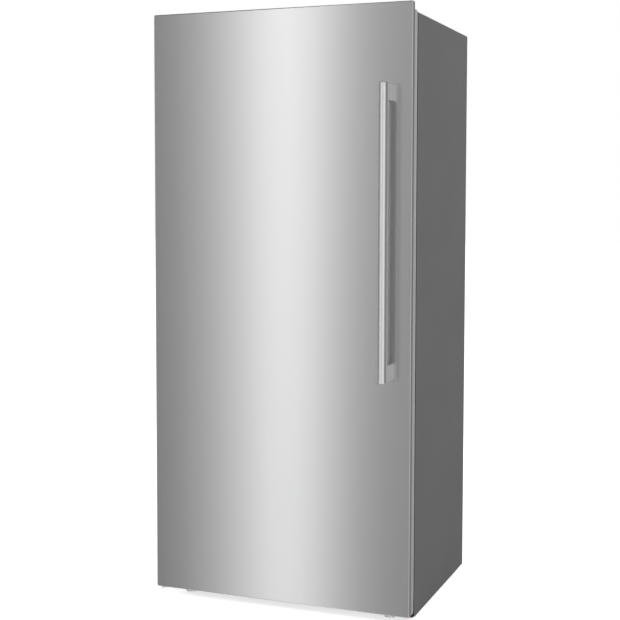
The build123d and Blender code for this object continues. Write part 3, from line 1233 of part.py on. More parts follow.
def control_housing():
    """Ceiling housing: display recess and buttons in its front, the lamp lens in its floor."""
    w = HOUSING_WALL
    form = centred(HOUSING_HALF_WIDTH, HOUSING_FRONT, HOUSING_BACK, HOUSING_BOTTOM, CAVITY_TOP)
    form = rounded(form, Axis.Z, HOUSING_CORNER)
    form = fillet(form.edges().group_by(Axis.Z)[0], 4)
    inner_half, y0, y1 = HOUSING_HALF_WIDTH - w, HOUSING_FRONT + w, HOUSING_BACK - w
    inner = centred(inner_half, y0, y1, HOUSING_BOTTOM + w, CAVITY_TOP + PAST)
    housing = form - rounded(inner, Axis.Z, HOUSING_CORNER - w)
    y0, y1 = HOUSING_FRONT - PAST, HOUSING_FRONT + w + PAST
    half_x, half_z = BUTTON_WIDTH / 2 + BUTTON_GAP, BUTTON_HEIGHT / 2 + BUTTON_GAP
    for x in button_places():
        hole = block(x - half_x, x + half_x, y0, y1, HOUSING_MIDDLE - half_z, HOUSING_MIDDLE + half_z)
        housing -= rounded(hole, Axis.Y, BUTTON_CORNER + BUTTON_GAP)
    right, half_z = DISPLAY_LEFT + DISPLAY_WIDTH, DISPLAY_HEIGHT / 2
    low, high = HOUSING_MIDDLE - half_z, HOUSING_MIDDLE + half_z
    recess = block(DISPLAY_LEFT, right, y0, HOUSING_FRONT + DISPLAY_RECESS, low, high)
    return housing - rounded(recess, Axis.Y, 3) - light_lens()


def button(x):
    """Push button that stands proud of the housing, with a collar behind its wall."""
    half_x, half_z = BUTTON_WIDTH / 2, BUTTON_HEIGHT / 2
    behind = HOUSING_FRONT + HOUSING_WALL + BUTTON_GAP
    low, high = HOUSING_MIDDLE - half_z, HOUSING_MIDDLE + half_z
    cap = block(x - half_x, x + half_x, HOUSING_FRONT - BUTTON_PROUD, behind + BUTTON_STEM, low, high)
    cap = rounded(cap, Axis.Y, BUTTON_CORNER)
    cap = fillet(cap.edges().group_by(Axis.Y)[0], 0.8)
    c = BUTTON_COLLAR
    collar_back = behind + BUTTON_COLLAR_THICKNESS
    return cap + block(x - half_x - c, x + half_x + c, behind, collar_back, low - c, high + c)


# ------------------------------------------------------------ hinges


def bracket_outline(end, z0, z1):
    """Plate round the pin, narrow enough in front to leave the opening door its way."""
    outline = Polyline(
        on_circle(NOSE_RADIUS, 150), (BRACKET_LEFT, BRACKET_LEFT_KNEE), (BRACKET_LEFT, end),
        (BRACKET_RIGHT, end), (BRACKET_RIGHT, BRACKET_RIGHT_KNEE), on_circle(NOSE_RADIUS, -20),
        close=True)
    plate = extrude(Pos(PIN_X, PIN_Y, z0) * make_face(outline), z1 - z0)
    return plate + rod_z(PIN_X, PIN_Y, z0, z1, NOSE_RADIUS)


def top_hinge_bracket():
    """Joggled plate on the cabinet's top, with the pin that drops into the door."""
    end = CABINET_FRONT + BRACKET_ON_TOP
    plate = bracket_outline(end - PIN_Y, TONGUE_LOW, TONGUE_TOP)
    x0, x1 = PIN_X + BRACKET_LEFT, PIN_X + BRACKET_RIGHT
    plate += block(x0, x1, CABINET_FRONT + HINGE_PLATE, end, CABINET_TOP, TONGUE_LOW + 1)
    plate += rod_z(PIN_X, PIN_Y, BODY_TOP - PIN_LENGTH_IN_DOOR, TONGUE_TOP, PIN_RADIUS)
    for x, y in top_screw_places():
        plate -= rod_z(x, y, CABINET_TOP - PAST, TONGUE_TOP + PAST, HINGE_SCREW_RADIUS)
    return plate


def hinge_cap_form(inset):
    """The hinge cap's outside, drawn in by its wall and open below."""
    margin = HINGE_CAP_MARGIN + HINGE_CAP_WALL - inset
    x0, x1 = PIN_X + BRACKET_LEFT - margin, PIN_X + BRACKET_RIGHT + margin
    y0 = CABINET_FRONT + HINGE_CAP_MARGIN + inset
    y1 = CABINET_FRONT + BRACKET_ON_TOP + HINGE_CAP_MARGIN + margin
    cap = block(x0, x1, y0, y1, CABINET_TOP - inset, CABINET_TOP + HINGE_CAP_HEIGHT - inset)
    cap = rounded(cap, Axis.Z, HINGE_CAP_CORNER - inset)
    return fillet(cap.edges().group_by(Axis.Z)[-1], HINGE_CAP_CORNER / 2 - inset)


def top_hinge_cover():
    """Plastic cap over the bracket and its screws."""
    x0, x1 = PIN_X - NOSE_RADIUS, PIN_X + BRACKET_RIGHT + BUSH_GAP
    y0 = CABINET_FRONT + HINGE_CAP_MARGIN
    y1 = y0 + HINGE_CAP_CORNER + HINGE_CAP_WALL
    mouth = block(x0, x1, y0 - PAST, y1, CABINET_TOP - PAST, TONGUE_TOP + BUSH_GAP)
    return hinge_cap_form(0) - hinge_cap_form(HINGE_CAP_WALL) - mouth


def lower_hinge_bracket():
    """Plate under the front rail, with the pin that carries the door."""
    end = FRAME_FRONT + BRACKET_UNDER_RAIL
    low = FRAME_BOTTOM - LOWER_PLATE
    plate = bracket_outline(end - PIN_Y, low, FRAME_BOTTOM)
    plate += rod_z(PIN_X, PIN_Y, low, BODY_BOTTOM + PIN_LENGTH_IN_DOOR, PIN_RADIUS)
    for x, y in lower_screw_places():
        plate -= rod_z(x, y, 0, FRAME_BOTTOM + PAST, HINGE_SCREW_RADIUS)
    return plate


def bush_forms(grow):
    """Top and bottom bushes as closed forms inside the door body, grown by a wall."""
    radius = BUSH_OUTER + grow
    top = rod_z(PIN_X, PIN_Y, BODY_TOP - BUSH_LENGTH - grow, BODY_TOP, radius)
    bottom = rod_z(PIN_X, PIN_Y, BODY_BOTTOM, BODY_BOTTOM + BUSH_LENGTH + grow, radius)
    return top, bottom


def hinge_bushes():
    """Flanged bushes in the door's end caps, with blind bores for the pins."""
    top, bottom = bush_forms(0)
    top += rod_z(PIN_X, PIN_Y, BODY_TOP, BODY_TOP + BUSH_FLANGE, BUSH_FLANGE_RADIUS)
    bottom += rod_z(PIN_X, PIN_Y, FRAME_BOTTOM + BUSH_GAP, BODY_BOTTOM, BUSH_FLANGE_RADIUS)
    top -= rod_z(PIN_X, PIN_Y, BODY_TOP - BUSH_BORE, BODY_TOP + 2 * BUSH_FLANGE, BUSH_INNER)
    bottom -= rod_z(PIN_X, PIN_Y, 0, BODY_BOTTOM + BUSH_BORE, BUSH_INNER)
    return group([top, bottom])


def cabinet_screws():
    """Hinge plate screws and rear cover screws."""
    up, down, forward = Rot(0, 0, 0), Rot(180, 0, 0), Rot(90, 0, 0)
    under = FRAME_BOTTOM - LOWER_PLATE
    screws = [screw(x, y, TONGUE_TOP, down, HINGE_SCREW_RADIUS) for x, y in top_screw_places()]
    screws += [screw(x, y, under, up, HINGE_SCREW_RADIUS) for x, y in lower_screw_places()]
    screws += [screw(x, PANEL_BACK, z, forward, SCREW_RADIUS) for x, z in cover_screw_places()]
    return group(screws)


# ------------------------------------------------------------ door


def stud_places():
    return [(BAR_X, z + dz) for z in (POST_LOW_Z, POST_HIGH_Z) for dz in spread(2, STUD_SPACING)]


def slab_form(inset):
    """The door's front slab, drawn in by the skin on every side."""
    y0, y1 = DOOR_FRONT + inset, SLAB_BACK - inset
    slab = centred(HALF - inset, y0, y1, DOOR_BOTTOM + inset, DOOR_TOP - inset)
    slab = rounded(slab, Axis.Y, SKIN_CORNER - inset)
    return fillet(slab.edges().group_by(Axis.Y)[0], SKIN_EDGE - inset)


def return_window(y0, y1):
    """The opening in the skin's return behind the slab."""
    return centred(RETURN_HALF, y0, y1, BODY_BOTTOM + SKIN_RETURN, BODY_TOP - SKIN_RETURN)


def door_skin():
    """Stainless front with rounded edges and a return behind the slab."""
    skin = slab_form(0) - slab_form(SKIN)
    skin -= return_window(SLAB_BACK - 2 * SKIN, SLAB_BACK + PAST)
    for x, z in stud_places():
        skin -= rod_y(x, DOOR_FRONT - PAST, DOOR_FRONT + 2 * SKIN, z, STUD_RADIUS)
    return skin


def dyke_form(inset):
    """The raised ring of the door's liner, drawn in by its wall on the foam side."""
    middle = (DYKE_TOP + DYKE_BOTTOM) / 2
    half_height = (DYKE_TOP - DYKE_BOTTOM) / 2
    base = Plane(origin=(0, LINER_PLANE, middle), x_dir=(1, 0, 0), z_dir=(0, 1, 0))
    outline = RectangleRounded(2 * (DYKE_HALF - inset), 2 * (half_height - inset), DYKE_CORNER - inset)
    hill = extrude(base * outline, DYKE_REACH + LINER - inset, taper=DYKE_TAPER)
    reach = DYKE_REACH - POCKET_REACH + inset
    crest_y = POCKET_FLOOR - inset + reach
    crest = Plane(origin=(0, crest_y, middle), x_dir=(1, 0, 0), z_dir=(0, -1, 0))
    half_mouth = half_height - (DYKE_HALF - POCKET_HALF) + inset
    mouth = RectangleRounded(2 * (POCKET_HALF + inset), 2 * half_mouth, POCKET_CORNER + inset)
    return hill - extrude(crest * mouth, reach, taper=DYKE_TAPER)


def door_liner():
    """White inner door: flat rim under the gasket, raised ring, pocket, and lugs for the bins."""
    rim = centred(BODY_HALF, LINER_PLANE, DOOR_BACK, BODY_BOTTOM, BODY_TOP)
    liner = rounded(rim, Axis.Y, RIM_CORNER) + dyke_form(0) - dyke_form(LINER)
    x0, x1 = BIN_HALF + LUG_INSET, BIN_HALF + LUG_REACH
    y0 = POCKET_FLOOR + BIN_EAR_SETBACK + 1
    y1 = y0 + BIN_EAR_DEPTH - 2
    for z in BIN_LOWS:
        top = z + BIN_HEIGHT - BIN_EAR_HEIGHT
        lug = rounded(block(x0, x1, y0, y1, top - LUG_HEIGHT, top), Axis.X, 3) - dyke_form(0)
        liner += lug + mirrored(lug)
    return liner


def door_surround():
    """Two end caps with the hinge bosses, and a strip along each side."""
    w = SURROUND
    body = centred(BODY_HALF, SLAB_BACK, LINER_PLANE, BODY_BOTTOM, BODY_TOP)
    low, high = BODY_BOTTOM + END_CAP_HEIGHT, BODY_TOP - END_CAP_HEIGHT
    y0, y1 = SLAB_BACK + w, LINER_PLANE - w
    top = centred(BODY_HALF, SLAB_BACK, LINER_PLANE, high, BODY_TOP)
    top -= centred(BODY_HALF - w, y0, y1, high - PAST, BODY_TOP - w)
    bottom = centred(BODY_HALF, SLAB_BACK, LINER_PLANE, BODY_BOTTOM, low)
    bottom -= centred(BODY_HALF - w, y0, y1, BODY_BOTTOM + w, low + PAST)
    strip = block(RETURN_HALF, BODY_HALF, SLAB_BACK, LINER_PLANE, low, high)
    strip -= block(RETURN_HALF - PAST, BODY_HALF - w, y0, y1, low - PAST, high + PAST)
    left_strip = mirrored(strip)
    caps = []
    for cap, boss, bush in zip((top, bottom), bush_forms(BOSS_WALL), bush_forms(0)):
        caps.append(cap + (boss & body) - bush)
        left_strip -= boss
    return group(caps + [strip, left_strip])


def door_foam():
    foam = slab_form(SKIN) + return_window(SLAB_BACK - SKIN, SLAB_BACK)
    foam += centred(BODY_HALF, SLAB_BACK, LINER_PLANE, BODY_BOTTOM, BODY_TOP)
    foam += dyke_form(LINER)
    for solid in door_surround().solids():
        foam -= solid
    for bush in bush_forms(0):
        foam -= bush
    for x, z in stud_places():
        foam -= rod_y(x, DOOR_FRONT, DOOR_FRONT + SKIN + STUD_HEAD, z, STUD_HEAD_RADIUS)
    return foam


def gasket_ring(inset, width, y0, y1, corner):
    outer = centred(GASKET_HALF - inset, y0, y1, GASKET_BOTTOM + inset, GASKET_TOP - inset)
    edge = inset + width
    low, high = GASKET_BOTTOM + edge, GASKET_TOP - edge
    hole = centred(GASKET_HALF - edge, y0 - PAST, y1 + PAST, low, high)
    return rounded(outer, Axis.Y, corner) - rounded(hole, Axis.Y, corner / 2)


def door_gasket():
    """Magnetic gasket ring, a hair off the cabinet's face, with a groove in that face."""
    groove_inset = (GASKET_WIDTH - GASKET_GROOVE) / 2
    groove = gasket_ring(groove_inset, GASKET_GROOVE, GASKET_FACE - 1, GASKET_FACE + PAST, 4)
    return gasket_ring(0, GASKET_WIDTH, DOOR_BACK, GASKET_FACE, 6) - groove


def handle_bar():
    bar = rod_z(BAR_X, BAR_Y, BAR_FLOOR_HEIGHT, BAR_TOP, BAR_RADIUS)
    return fillet(bar.edges().filter_by(GeomType.CIRCLE), BAR_END_ROUND)


def handle_posts():
    """Two flat posts between the door and the bar, cupped round the bar."""
    posts = []
    x0, x1 = BAR_X - POST_WIDTH / 2, BAR_X + POST_WIDTH / 2
    bar = rod_z(BAR_X, BAR_Y, 0, DOOR_TOP, BAR_RADIUS)
    for z in (POST_LOW_Z, POST_HIGH_Z):
        post = block(x0, x1, BAR_Y, DOOR_FRONT, z - POST_HEIGHT / 2, z + POST_HEIGHT / 2)
        post = rounded(post, Axis.Y, POST_CORNER) - bar
        for x, stud_z in stud_places():
            post -= rod_y(x, DOOR_FRONT - STUD_REACH, DOOR_FRONT + PAST, stud_z, STUD_RADIUS)
        posts.append(post)
    return group(posts)


def handle_studs():
    """Four headed studs from behind the skin into the posts."""
    studs = []
    y = DOOR_FRONT + SKIN
    for x, z in stud_places():
        shank = rod_y(x, DOOR_FRONT - STUD_REACH, y, z, STUD_RADIUS)
        studs.append(shank + rod_y(x, y, y + STUD_HEAD, z, STUD_HEAD_RADIUS))
    return group(studs)


def door_bin(z):
    """Open bin between the liner's rings, with an ear over each lug."""
    w, back, reach, top = BIN_WALL, POCKET_FLOOR, POCKET_FLOOR + BIN_REACH, z + BIN_HEIGHT
    form = centred(BIN_HALF, back, reach, z, top)
    form = fillet(form.edges().filter_by(Axis.Z).group_by(Axis.Y)[-1], BIN_CORNER)
    form = fillet(form.edges().group_by(Axis.Z)[0], 6)
    inner = centred(BIN_HALF - w, back + w, reach - w, z + w, top + PAST)
    inner = fillet(inner.edges().filter_by(Axis.Z).group_by(Axis.Y)[-1], BIN_CORNER - w)
    y0 = POCKET_FLOOR + BIN_EAR_SETBACK
    y1 = y0 + BIN_EAR_DEPTH
    ear = block(BIN_HALF - w / 2, BIN_HALF + BIN_EAR, y0, y1, top - BIN_EAR_HEIGHT, top)
    return (form - inner) + ear + mirrored(ear)


# ------------------------------------------------------------ all the nodes


def nodes():
    parts = {
        "cabinet_wrapper": cabinet_wrapper(),
        "back_panel": back_panel(),
        "cabinet_foam": cabinet_foam(),
        "inner_liner": inner_liner(),
        "machine_deck": machine_deck(),
        "base_frame": base_frame(),
        "toe_grille": toe_grille(),
        "machine_cover": machine_cover(),
        "power_inlet": power_inlet(),
        "evaporator_cover": evaporator_cover(),
        "evaporator_coil": evaporator_coil(),
        "evaporator_fins": evaporator_fins(),
        "defrost_heater": defrost_heater(),
        "evaporator_fan_motor": evaporator_fan_motor(),
        "evaporator_fan_blade": evaporator_fan_blade(),
        "drain_trough": drain_trough(),
        "evaporation_pan": evaporation_pan(),
        "compressor": compressor(),
        "compressor_mounts": compressor_mounts(),
        "terminal_cover": terminal_cover(),
        "condenser_coil": condenser_coil(),
        "condenser_fins": condenser_fins(),
        "condenser_fan_mount": condenser_fan_mount(),
        "condenser_fan_blade": condenser_fan_blade(),
        "refrigerant_lines": refrigerant_lines(),
        "control_housing": control_housing(),
        "light_lens": light_lens(),
        "shelf_trims": shelf_trims(),
        "drawer_runners": drawer_runners(),
        "top_hinge_bracket": top_hinge_bracket(),
        "top_hinge_cover": top_hinge_cover(),
        "lower_hinge_bracket": lower_hinge_bracket(),
        "cabinet_screws": cabinet_screws(),
        "leg_left": levelling_leg(-LEG_X),
        "leg_right": levelling_leg(LEG_X),
        "roller_left": roller(-ROLLER_X),
        "roller_right": roller(ROLLER_X),
        "door_skin": door_skin(),
        "door_foam": door_foam(),
        "door_liner": door_liner(),
        "door_surround": door_surround(),
        "door_gasket": door_gasket(),
        "hinge_bushes": hinge_bushes(),
        "handle_bar": handle_bar(),
        "handle_posts": handle_posts(),
        "handle_studs": handle_studs(),
    }
    for number, z in enumerate(SHELF_HEIGHTS, 1):
        parts[f"glass_shelf_{number}"] = glass_shelf(z)
    for number, z in enumerate(BIN_LOWS, 1):
        parts[f"door_bin_{number}"] = door_bin(z)
    for index in range(DRAWER_COUNT):
        parts[f"drawer_{index + 1}"] = drawer(index)
    for name, x in zip(("power", "colder", "warmer"), button_places()):
        parts[f"button_{name}"] = button(x)
    return parts


def main():
    os.makedirs("parts", exist_ok=True)
    for name, shape in nodes().items():
        shape.label = name
        export_step(shape, f"parts/{name}.step")


main()
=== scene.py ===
"""Looks of the upright freezer: materials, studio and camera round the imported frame."""
import json
import math

import bpy
from mathutils import Matrix, Vector

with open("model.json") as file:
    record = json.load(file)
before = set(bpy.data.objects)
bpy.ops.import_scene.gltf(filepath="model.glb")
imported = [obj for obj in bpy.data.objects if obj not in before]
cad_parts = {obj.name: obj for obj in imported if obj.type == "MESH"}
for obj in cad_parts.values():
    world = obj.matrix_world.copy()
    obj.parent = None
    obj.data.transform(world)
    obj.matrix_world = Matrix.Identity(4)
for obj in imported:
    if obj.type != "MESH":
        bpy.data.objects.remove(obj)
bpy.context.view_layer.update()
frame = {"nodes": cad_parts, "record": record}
nodes = frame["nodes"]
slot_of = {row["node"]: row["material_slot"] for row in frame["record"]["subparts"]}

WHITE = (1.0, 1.0, 1.0, 1.0)


# ---------------------------------------------------------------- materials
# A scale is in features per metre, a relief in metres.

# Nearly all of a noise's values lie between these two.
NOISE_LOW, NOISE_HIGH = 0.25, 0.75

# Places of the colour sockets of a mix node, which share their names with others.
MIX_FACTOR, MIX_DARK, MIX_LIGHT, MIX_RESULT = 0, 6, 7, 2


def scaled(values, factor):
    return tuple(value * factor for value in values)


def tinted(colour, factor):
    return tuple(min(1.0, channel) for channel in scaled(colour, factor))


def even(scale):
    """The same scale along the three axes."""
    return (scale,) * 3


class Tree:
    """A material's node tree with the few nodes that the looks share."""

    def __init__(self, name, **values):
        self.material = bpy.data.materials.new(name)
        self.material.use_nodes = True
        self.nodes = self.material.node_tree.nodes
        self.links = self.material.node_tree.links
        self.shader = self.nodes["Principled BSDF"]
        for socket, value in values.items():
            self.shader.inputs[socket.replace("_", " ")].default_value = value

    def place(self, scale):
        """Object coordinates in metres, stretched by a scale."""
        coordinates = self.nodes.new("ShaderNodeTexCoord")
        mapping = self.nodes.new("ShaderNodeMapping")
        mapping.inputs["Scale"].default_value = scale
        self.links.new(coordinates.outputs["Object"], mapping.inputs["Vector"])
        return mapping.outputs["Vector"]

    def noise(self, scale, detail=3.0, roughness=0.6):
        texture = self.nodes.new("ShaderNodeTexNoise")
        texture.inputs["Scale"].default_value = 1.0
        texture.inputs["Detail"].default_value = detail
        texture.inputs["Roughness"].default_value = roughness
        self.links.new(self.place(scale), texture.inputs["Vector"])
        return texture.outputs["Fac"]

    def cells(self, scale):
        """A random value from 0 to 1 for each cell."""
        texture = self.nodes.new("ShaderNodeTexVoronoi")
        texture.inputs["Scale"].default_value = 1.0
        self.links.new(self.place(scale), texture.inputs["Vector"])
        split = self.nodes.new("ShaderNodeSeparateColor")
        self.links.new(texture.outputs["Color"], split.inputs["Color"])
        return split.outputs["Red"]

    def ranged(self, value, low, high, start=NOISE_LOW, stop=NOISE_HIGH):
        """The value, moved from start..stop to low..high."""
        mapped = self.nodes.new("ShaderNodeMapRange")
        mapped.inputs["From Min"].default_value = start
        mapped.inputs["From Max"].default_value = stop
        mapped.inputs["To Min"].default_value = low
        mapped.inputs["To Max"].default_value = high
        self.links.new(value, mapped.inputs["Value"])
        return mapped.outputs["Result"]

    def tones(self, value, colour, dark, light):
        """Base colour between two brightnesses of one colour, at values of 0 and 1."""
        mix = self.nodes.new("ShaderNodeMix")
        mix.data_type = "RGBA"
        mix.inputs[MIX_DARK].default_value = (*tinted(colour, dark), 1.0)
        mix.inputs[MIX_LIGHT].default_value = (*tinted(colour, light), 1.0)
        self.links.new(value, mix.inputs[MIX_FACTOR])
        self.links.new(mix.outputs[MIX_RESULT], self.shader.inputs["Base Color"])

    def clouds(self, noise, colour, dark, light):
        self.tones(self.ranged(noise, 0.0, 1.0), colour, dark, light)

    def rough(self, noise, low, high):
        self.links.new(self.ranged(noise, low, high), self.shader.inputs["Roughness"])

    def bump(self, value, relief, strength=1.0):
        node = self.nodes.new("ShaderNodeBump")
        node.inputs["Strength"].default_value = strength
        node.inputs["Distance"].default_value = relief
        self.links.new(value, node.inputs["Height"])
        self.links.new(node.outputs["Normal"], self.shader.inputs["Normal"])


BRUSHED_VARY, BRUSHED_SPREAD, BRUSHED_RELIEF = 0.01, 0.012, 4e-7


def brushed(name, colour, rough, grain):
    """Brushed metal. The grain is a scale, small along the brushing."""
    tree = Tree(name, Metallic=1.0)
    fine, coarse = tree.noise(grain, detail=2.0), tree.noise(scaled(grain, 0.5))
    tree.clouds(coarse, colour, 1 - BRUSHED_VARY, 1 + BRUSHED_VARY)
    tree.rough(fine, rough - BRUSHED_SPREAD, rough + BRUSHED_SPREAD)
    tree.bump(fine, BRUSHED_RELIEF)
    return tree.material


PAINT_CLOUD, PAINT_VARY, PAINT_SPREAD, PAINT_RELIEF = 5.0, 0.04, 0.06, 6e-5


def painted(name, colour, rough, stipple=900.0, coat=0.0):
    """Sprayed or powder-coated sheet with a fine stipple."""
    tree = Tree(name, Coat_Weight=coat)
    fine, cloud = tree.noise(even(stipple), detail=2.0), tree.noise(even(PAINT_CLOUD))
    tree.clouds(cloud, colour, 1 - PAINT_VARY, 1 + PAINT_VARY)
    tree.rough(fine, rough - PAINT_SPREAD, rough + PAINT_SPREAD)
    tree.bump(fine, PAINT_RELIEF, strength=0.5)
    return tree.material


PLASTIC_CLOUD, PLASTIC_SPREAD, PLASTIC_IOR = 14.0, 0.04, 1.46


def moulded(name, colour, rough, vary=0.03, grain=1400.0, relief=1.5e-5):
    """Moulded plastic or rubber with a fine grain and a little colour variation."""
    tree = Tree(name, IOR=PLASTIC_IOR)
    fine = tree.noise(even(grain), detail=2.0)
    cloud = tree.noise(even(PLASTIC_CLOUD), detail=4.0)
    tree.clouds(cloud, colour, 1 - vary, 1 + vary)
    tree.rough(cloud, rough - PLASTIC_SPREAD, rough + PLASTIC_SPREAD)
    tree.bump(fine, relief, strength=0.6)
    return tree.material


SPANGLE, SPANGLE_DARK, SPANGLE_LIGHT = 110.0, 0.93, 1.05
SPANGLE_SMOOTH, SPANGLE_DULL = 0.4, 0.5
ZINC_GRAIN, ZINC_RELIEF = 500.0, 1e-5


def galvanised(name, colour):
    """Zinc-coated sheet with its spangle."""
    tree = Tree(name, Metallic=0.85)
    spangle, fine = tree.cells(even(SPANGLE)), tree.noise(even(ZINC_GRAIN))
    tree.tones(spangle, colour, SPANGLE_DARK, SPANGLE_LIGHT)
    roughness = tree.ranged(spangle, SPANGLE_SMOOTH, SPANGLE_DULL, 0.0, 1.0)
    tree.links.new(roughness, tree.shader.inputs["Roughness"])
    tree.bump(fine, ZINC_RELIEF, strength=0.5)
    return tree.material


CLEAR_CLOUD, CLEAR_DARK = (9.0, 9.0, 22.0), 0.985


def see_through(name, colour, rough, ior, weight, frost):
    """Glass or clear plastic. Frost is how much rougher its roughest places are."""
    tree = Tree(name, Transmission_Weight=weight, IOR=ior)
    cloud = tree.noise(CLEAR_CLOUD, detail=4.0)
    tree.clouds(cloud, colour, CLEAR_DARK, 1.0)
    tree.rough(cloud, rough, rough + frost)
    return tree.material


FOAM_CELLS, FOAM_DARK, FOAM_LIGHT, FOAM_RELIEF = 420.0, 0.8, 1.08, 4e-4


def foamed(name, colour):
    """Insulating foam with its open cells."""
    tree = Tree(name, Roughness=0.95)
    cell = tree.noise(even(FOAM_CELLS), detail=6.0, roughness=0.7)
    tree.clouds(cell, colour, FOAM_DARK, FOAM_LIGHT)
    tree.bump(cell, FOAM_RELIEF)
    return tree.material


TARNISH_CLOUD, TARNISH_DARK, TARNISH_LIGHT, TARNISH_SPREAD = 40.0, 0.6, 1.1, 0.2


def tarnished(name, colour, rough):
    """Bare copper tube with cloudy darker patches."""
    tree = Tree(name, Metallic=1.0)
    cloud = tree.noise(even(TARNISH_CLOUD), detail=5.0)
    tree.clouds(cloud, colour, TARNISH_DARK, TARNISH_LIGHT)
    tree.rough(cloud, rough, rough + TARNISH_SPREAD)
    return tree.material


UPRIGHT_GRAIN = (900.0, 900.0, 6.0)
CABINET_GREY = (0.132, 0.132, 0.132)
ACRYLIC_IOR, GLASS_IOR = 1.49, 1.52

# Slot, maker and colour, and then the maker's other values in its own order: roughness, and
# brushed: grain; painted: stipple, coat; moulded: variation, grain, relief;
# see_through: index of refraction, transmission, frost.
FINISHES = [
    ("stainless", brushed, (0.55, 0.55, 0.552), 0.22, UPRIGHT_GRAIN),
    ("handle_steel", brushed, (0.78, 0.78, 0.775), 0.31, UPRIGHT_GRAIN),
    ("bright_steel", brushed, (0.66, 0.67, 0.68), 0.28, even(300.0)),
    ("galvanised", galvanised, (0.56, 0.57, 0.58)),
    ("black_frame", painted, (0.035, 0.035, 0.037), 0.5),
    ("black_enamel", painted, (0.014, 0.014, 0.015), 0.3, 400.0, 0.3),
    ("cabinet_paint", painted, CABINET_GREY, 0.55),
    ("cabinet_plastic", moulded, CABINET_GREY, 0.5),
    ("surround_plastic", moulded, (0.36, 0.36, 0.36), 0.5),
    ("foam", foamed, (0.80, 0.70, 0.44)),
    ("white_plastic", moulded, (0.84, 0.85, 0.85), 0.32, 0.01),
    ("grey_plastic", moulded, (0.48, 0.49, 0.50), 0.45),
    ("black_plastic", moulded, (0.022, 0.022, 0.023), 0.5),
    ("button_plastic", moulded, (0.62, 0.63, 0.64), 0.3),
    ("clear_plastic", see_through, (0.97, 0.98, 0.985), 0.03, ACRYLIC_IOR, 0.97, 0.06),
    ("frosted_lens", see_through, (0.95, 0.95, 0.93), 0.45, ACRYLIC_IOR, 0.7, 0.1),
    ("clear_glass", see_through, (0.90, 0.965, 0.94), 0.0, GLASS_IOR, 1.0, 0.01),
    ("aluminium", brushed, (0.80, 0.81, 0.82), 0.32, even(500.0)),
    ("copper", tarnished, (0.80, 0.42, 0.27), 0.28),
    ("rubber", moulded, (0.02, 0.02, 0.02), 0.75, 0.03, 700.0, 4e-5),
    ("gasket_rubber", moulded, (0.06, 0.06, 0.06), 0.6, 0.03, 700.0, 3e-5),
]
material_of = {slot: make(slot, *values) for slot, make, *values in FINISHES}

for name, piece in nodes.items():
    piece.data.materials.clear()
    piece.data.materials.append(material_of[slot_of[name]])


# ---------------------------------------------------------------- studio

# Kinds of ray for which the floor and the world are white.
SEEN = ("Is Camera Ray", "Is Glossy Ray", "Is Transmission Ray")


def blank(owner):
    """Nodes and links of a material or world, without its default nodes."""
    owner.use_nodes = True
    owner.node_tree.nodes.clear()
    return owner.node_tree.nodes, owner.node_tree.links


def is_seen(parts, links):
    """A factor of 1 for the kinds of ray in SEEN."""
    path = parts.new("ShaderNodeLightPath")
    factor = path.outputs[SEEN[0]]
    for kind in SEEN[1:]:
        larger = parts.new("ShaderNodeMath")
        larger.operation = "MAXIMUM"
        links.new(factor, larger.inputs[0])
        links.new(path.outputs[kind], larger.inputs[1])
        factor = larger.outputs[0]
    return factor


def white_world(level):
    """White where it is seen or reflected, and a plain level where it lights."""
    world = bpy.data.worlds.new("studio")
    bpy.context.scene.world = world
    parts, links = blank(world)
    seen, lit = parts.new("ShaderNodeBackground"), parts.new("ShaderNodeBackground")
    seen.inputs["Color"].default_value = WHITE
    lit.inputs["Color"].default_value = WHITE
    lit.inputs["Strength"].default_value = level
    mix, out = parts.new("ShaderNodeMixShader"), parts.new("ShaderNodeOutputWorld")
    links.new(is_seen(parts, links), mix.inputs["Fac"])
    links.new(lit.outputs[0], mix.inputs[1])
    links.new(seen.outputs[0], mix.inputs[2])
    links.new(mix.outputs[0], out.inputs["Surface"])


def floor_material(colour, lift):
    """Pale floor that keeps shadows and is lifted to white where it is seen."""
    tree = Tree("floor", Base_Color=(*colour, 1.0), Roughness=0.9, Specular_IOR_Level=0.0)
    tree.shader.inputs["Emission Color"].default_value = WHITE
    strength = tree.ranged(is_seen(tree.nodes, tree.links), 0.0, lift, 0.0, 1.0)
    tree.links.new(strength, tree.shader.inputs["Emission Strength"])
    return tree.material


def glow_material(name, strength):
    """Even light of one strength."""
    material = bpy.data.materials.new(name)
    parts, links = blank(material)
    glow, out = parts.new("ShaderNodeEmission"), parts.new("ShaderNodeOutputMaterial")
    glow.inputs["Strength"].default_value = strength
    links.new(glow.outputs[0], out.inputs["Surface"])
    return material


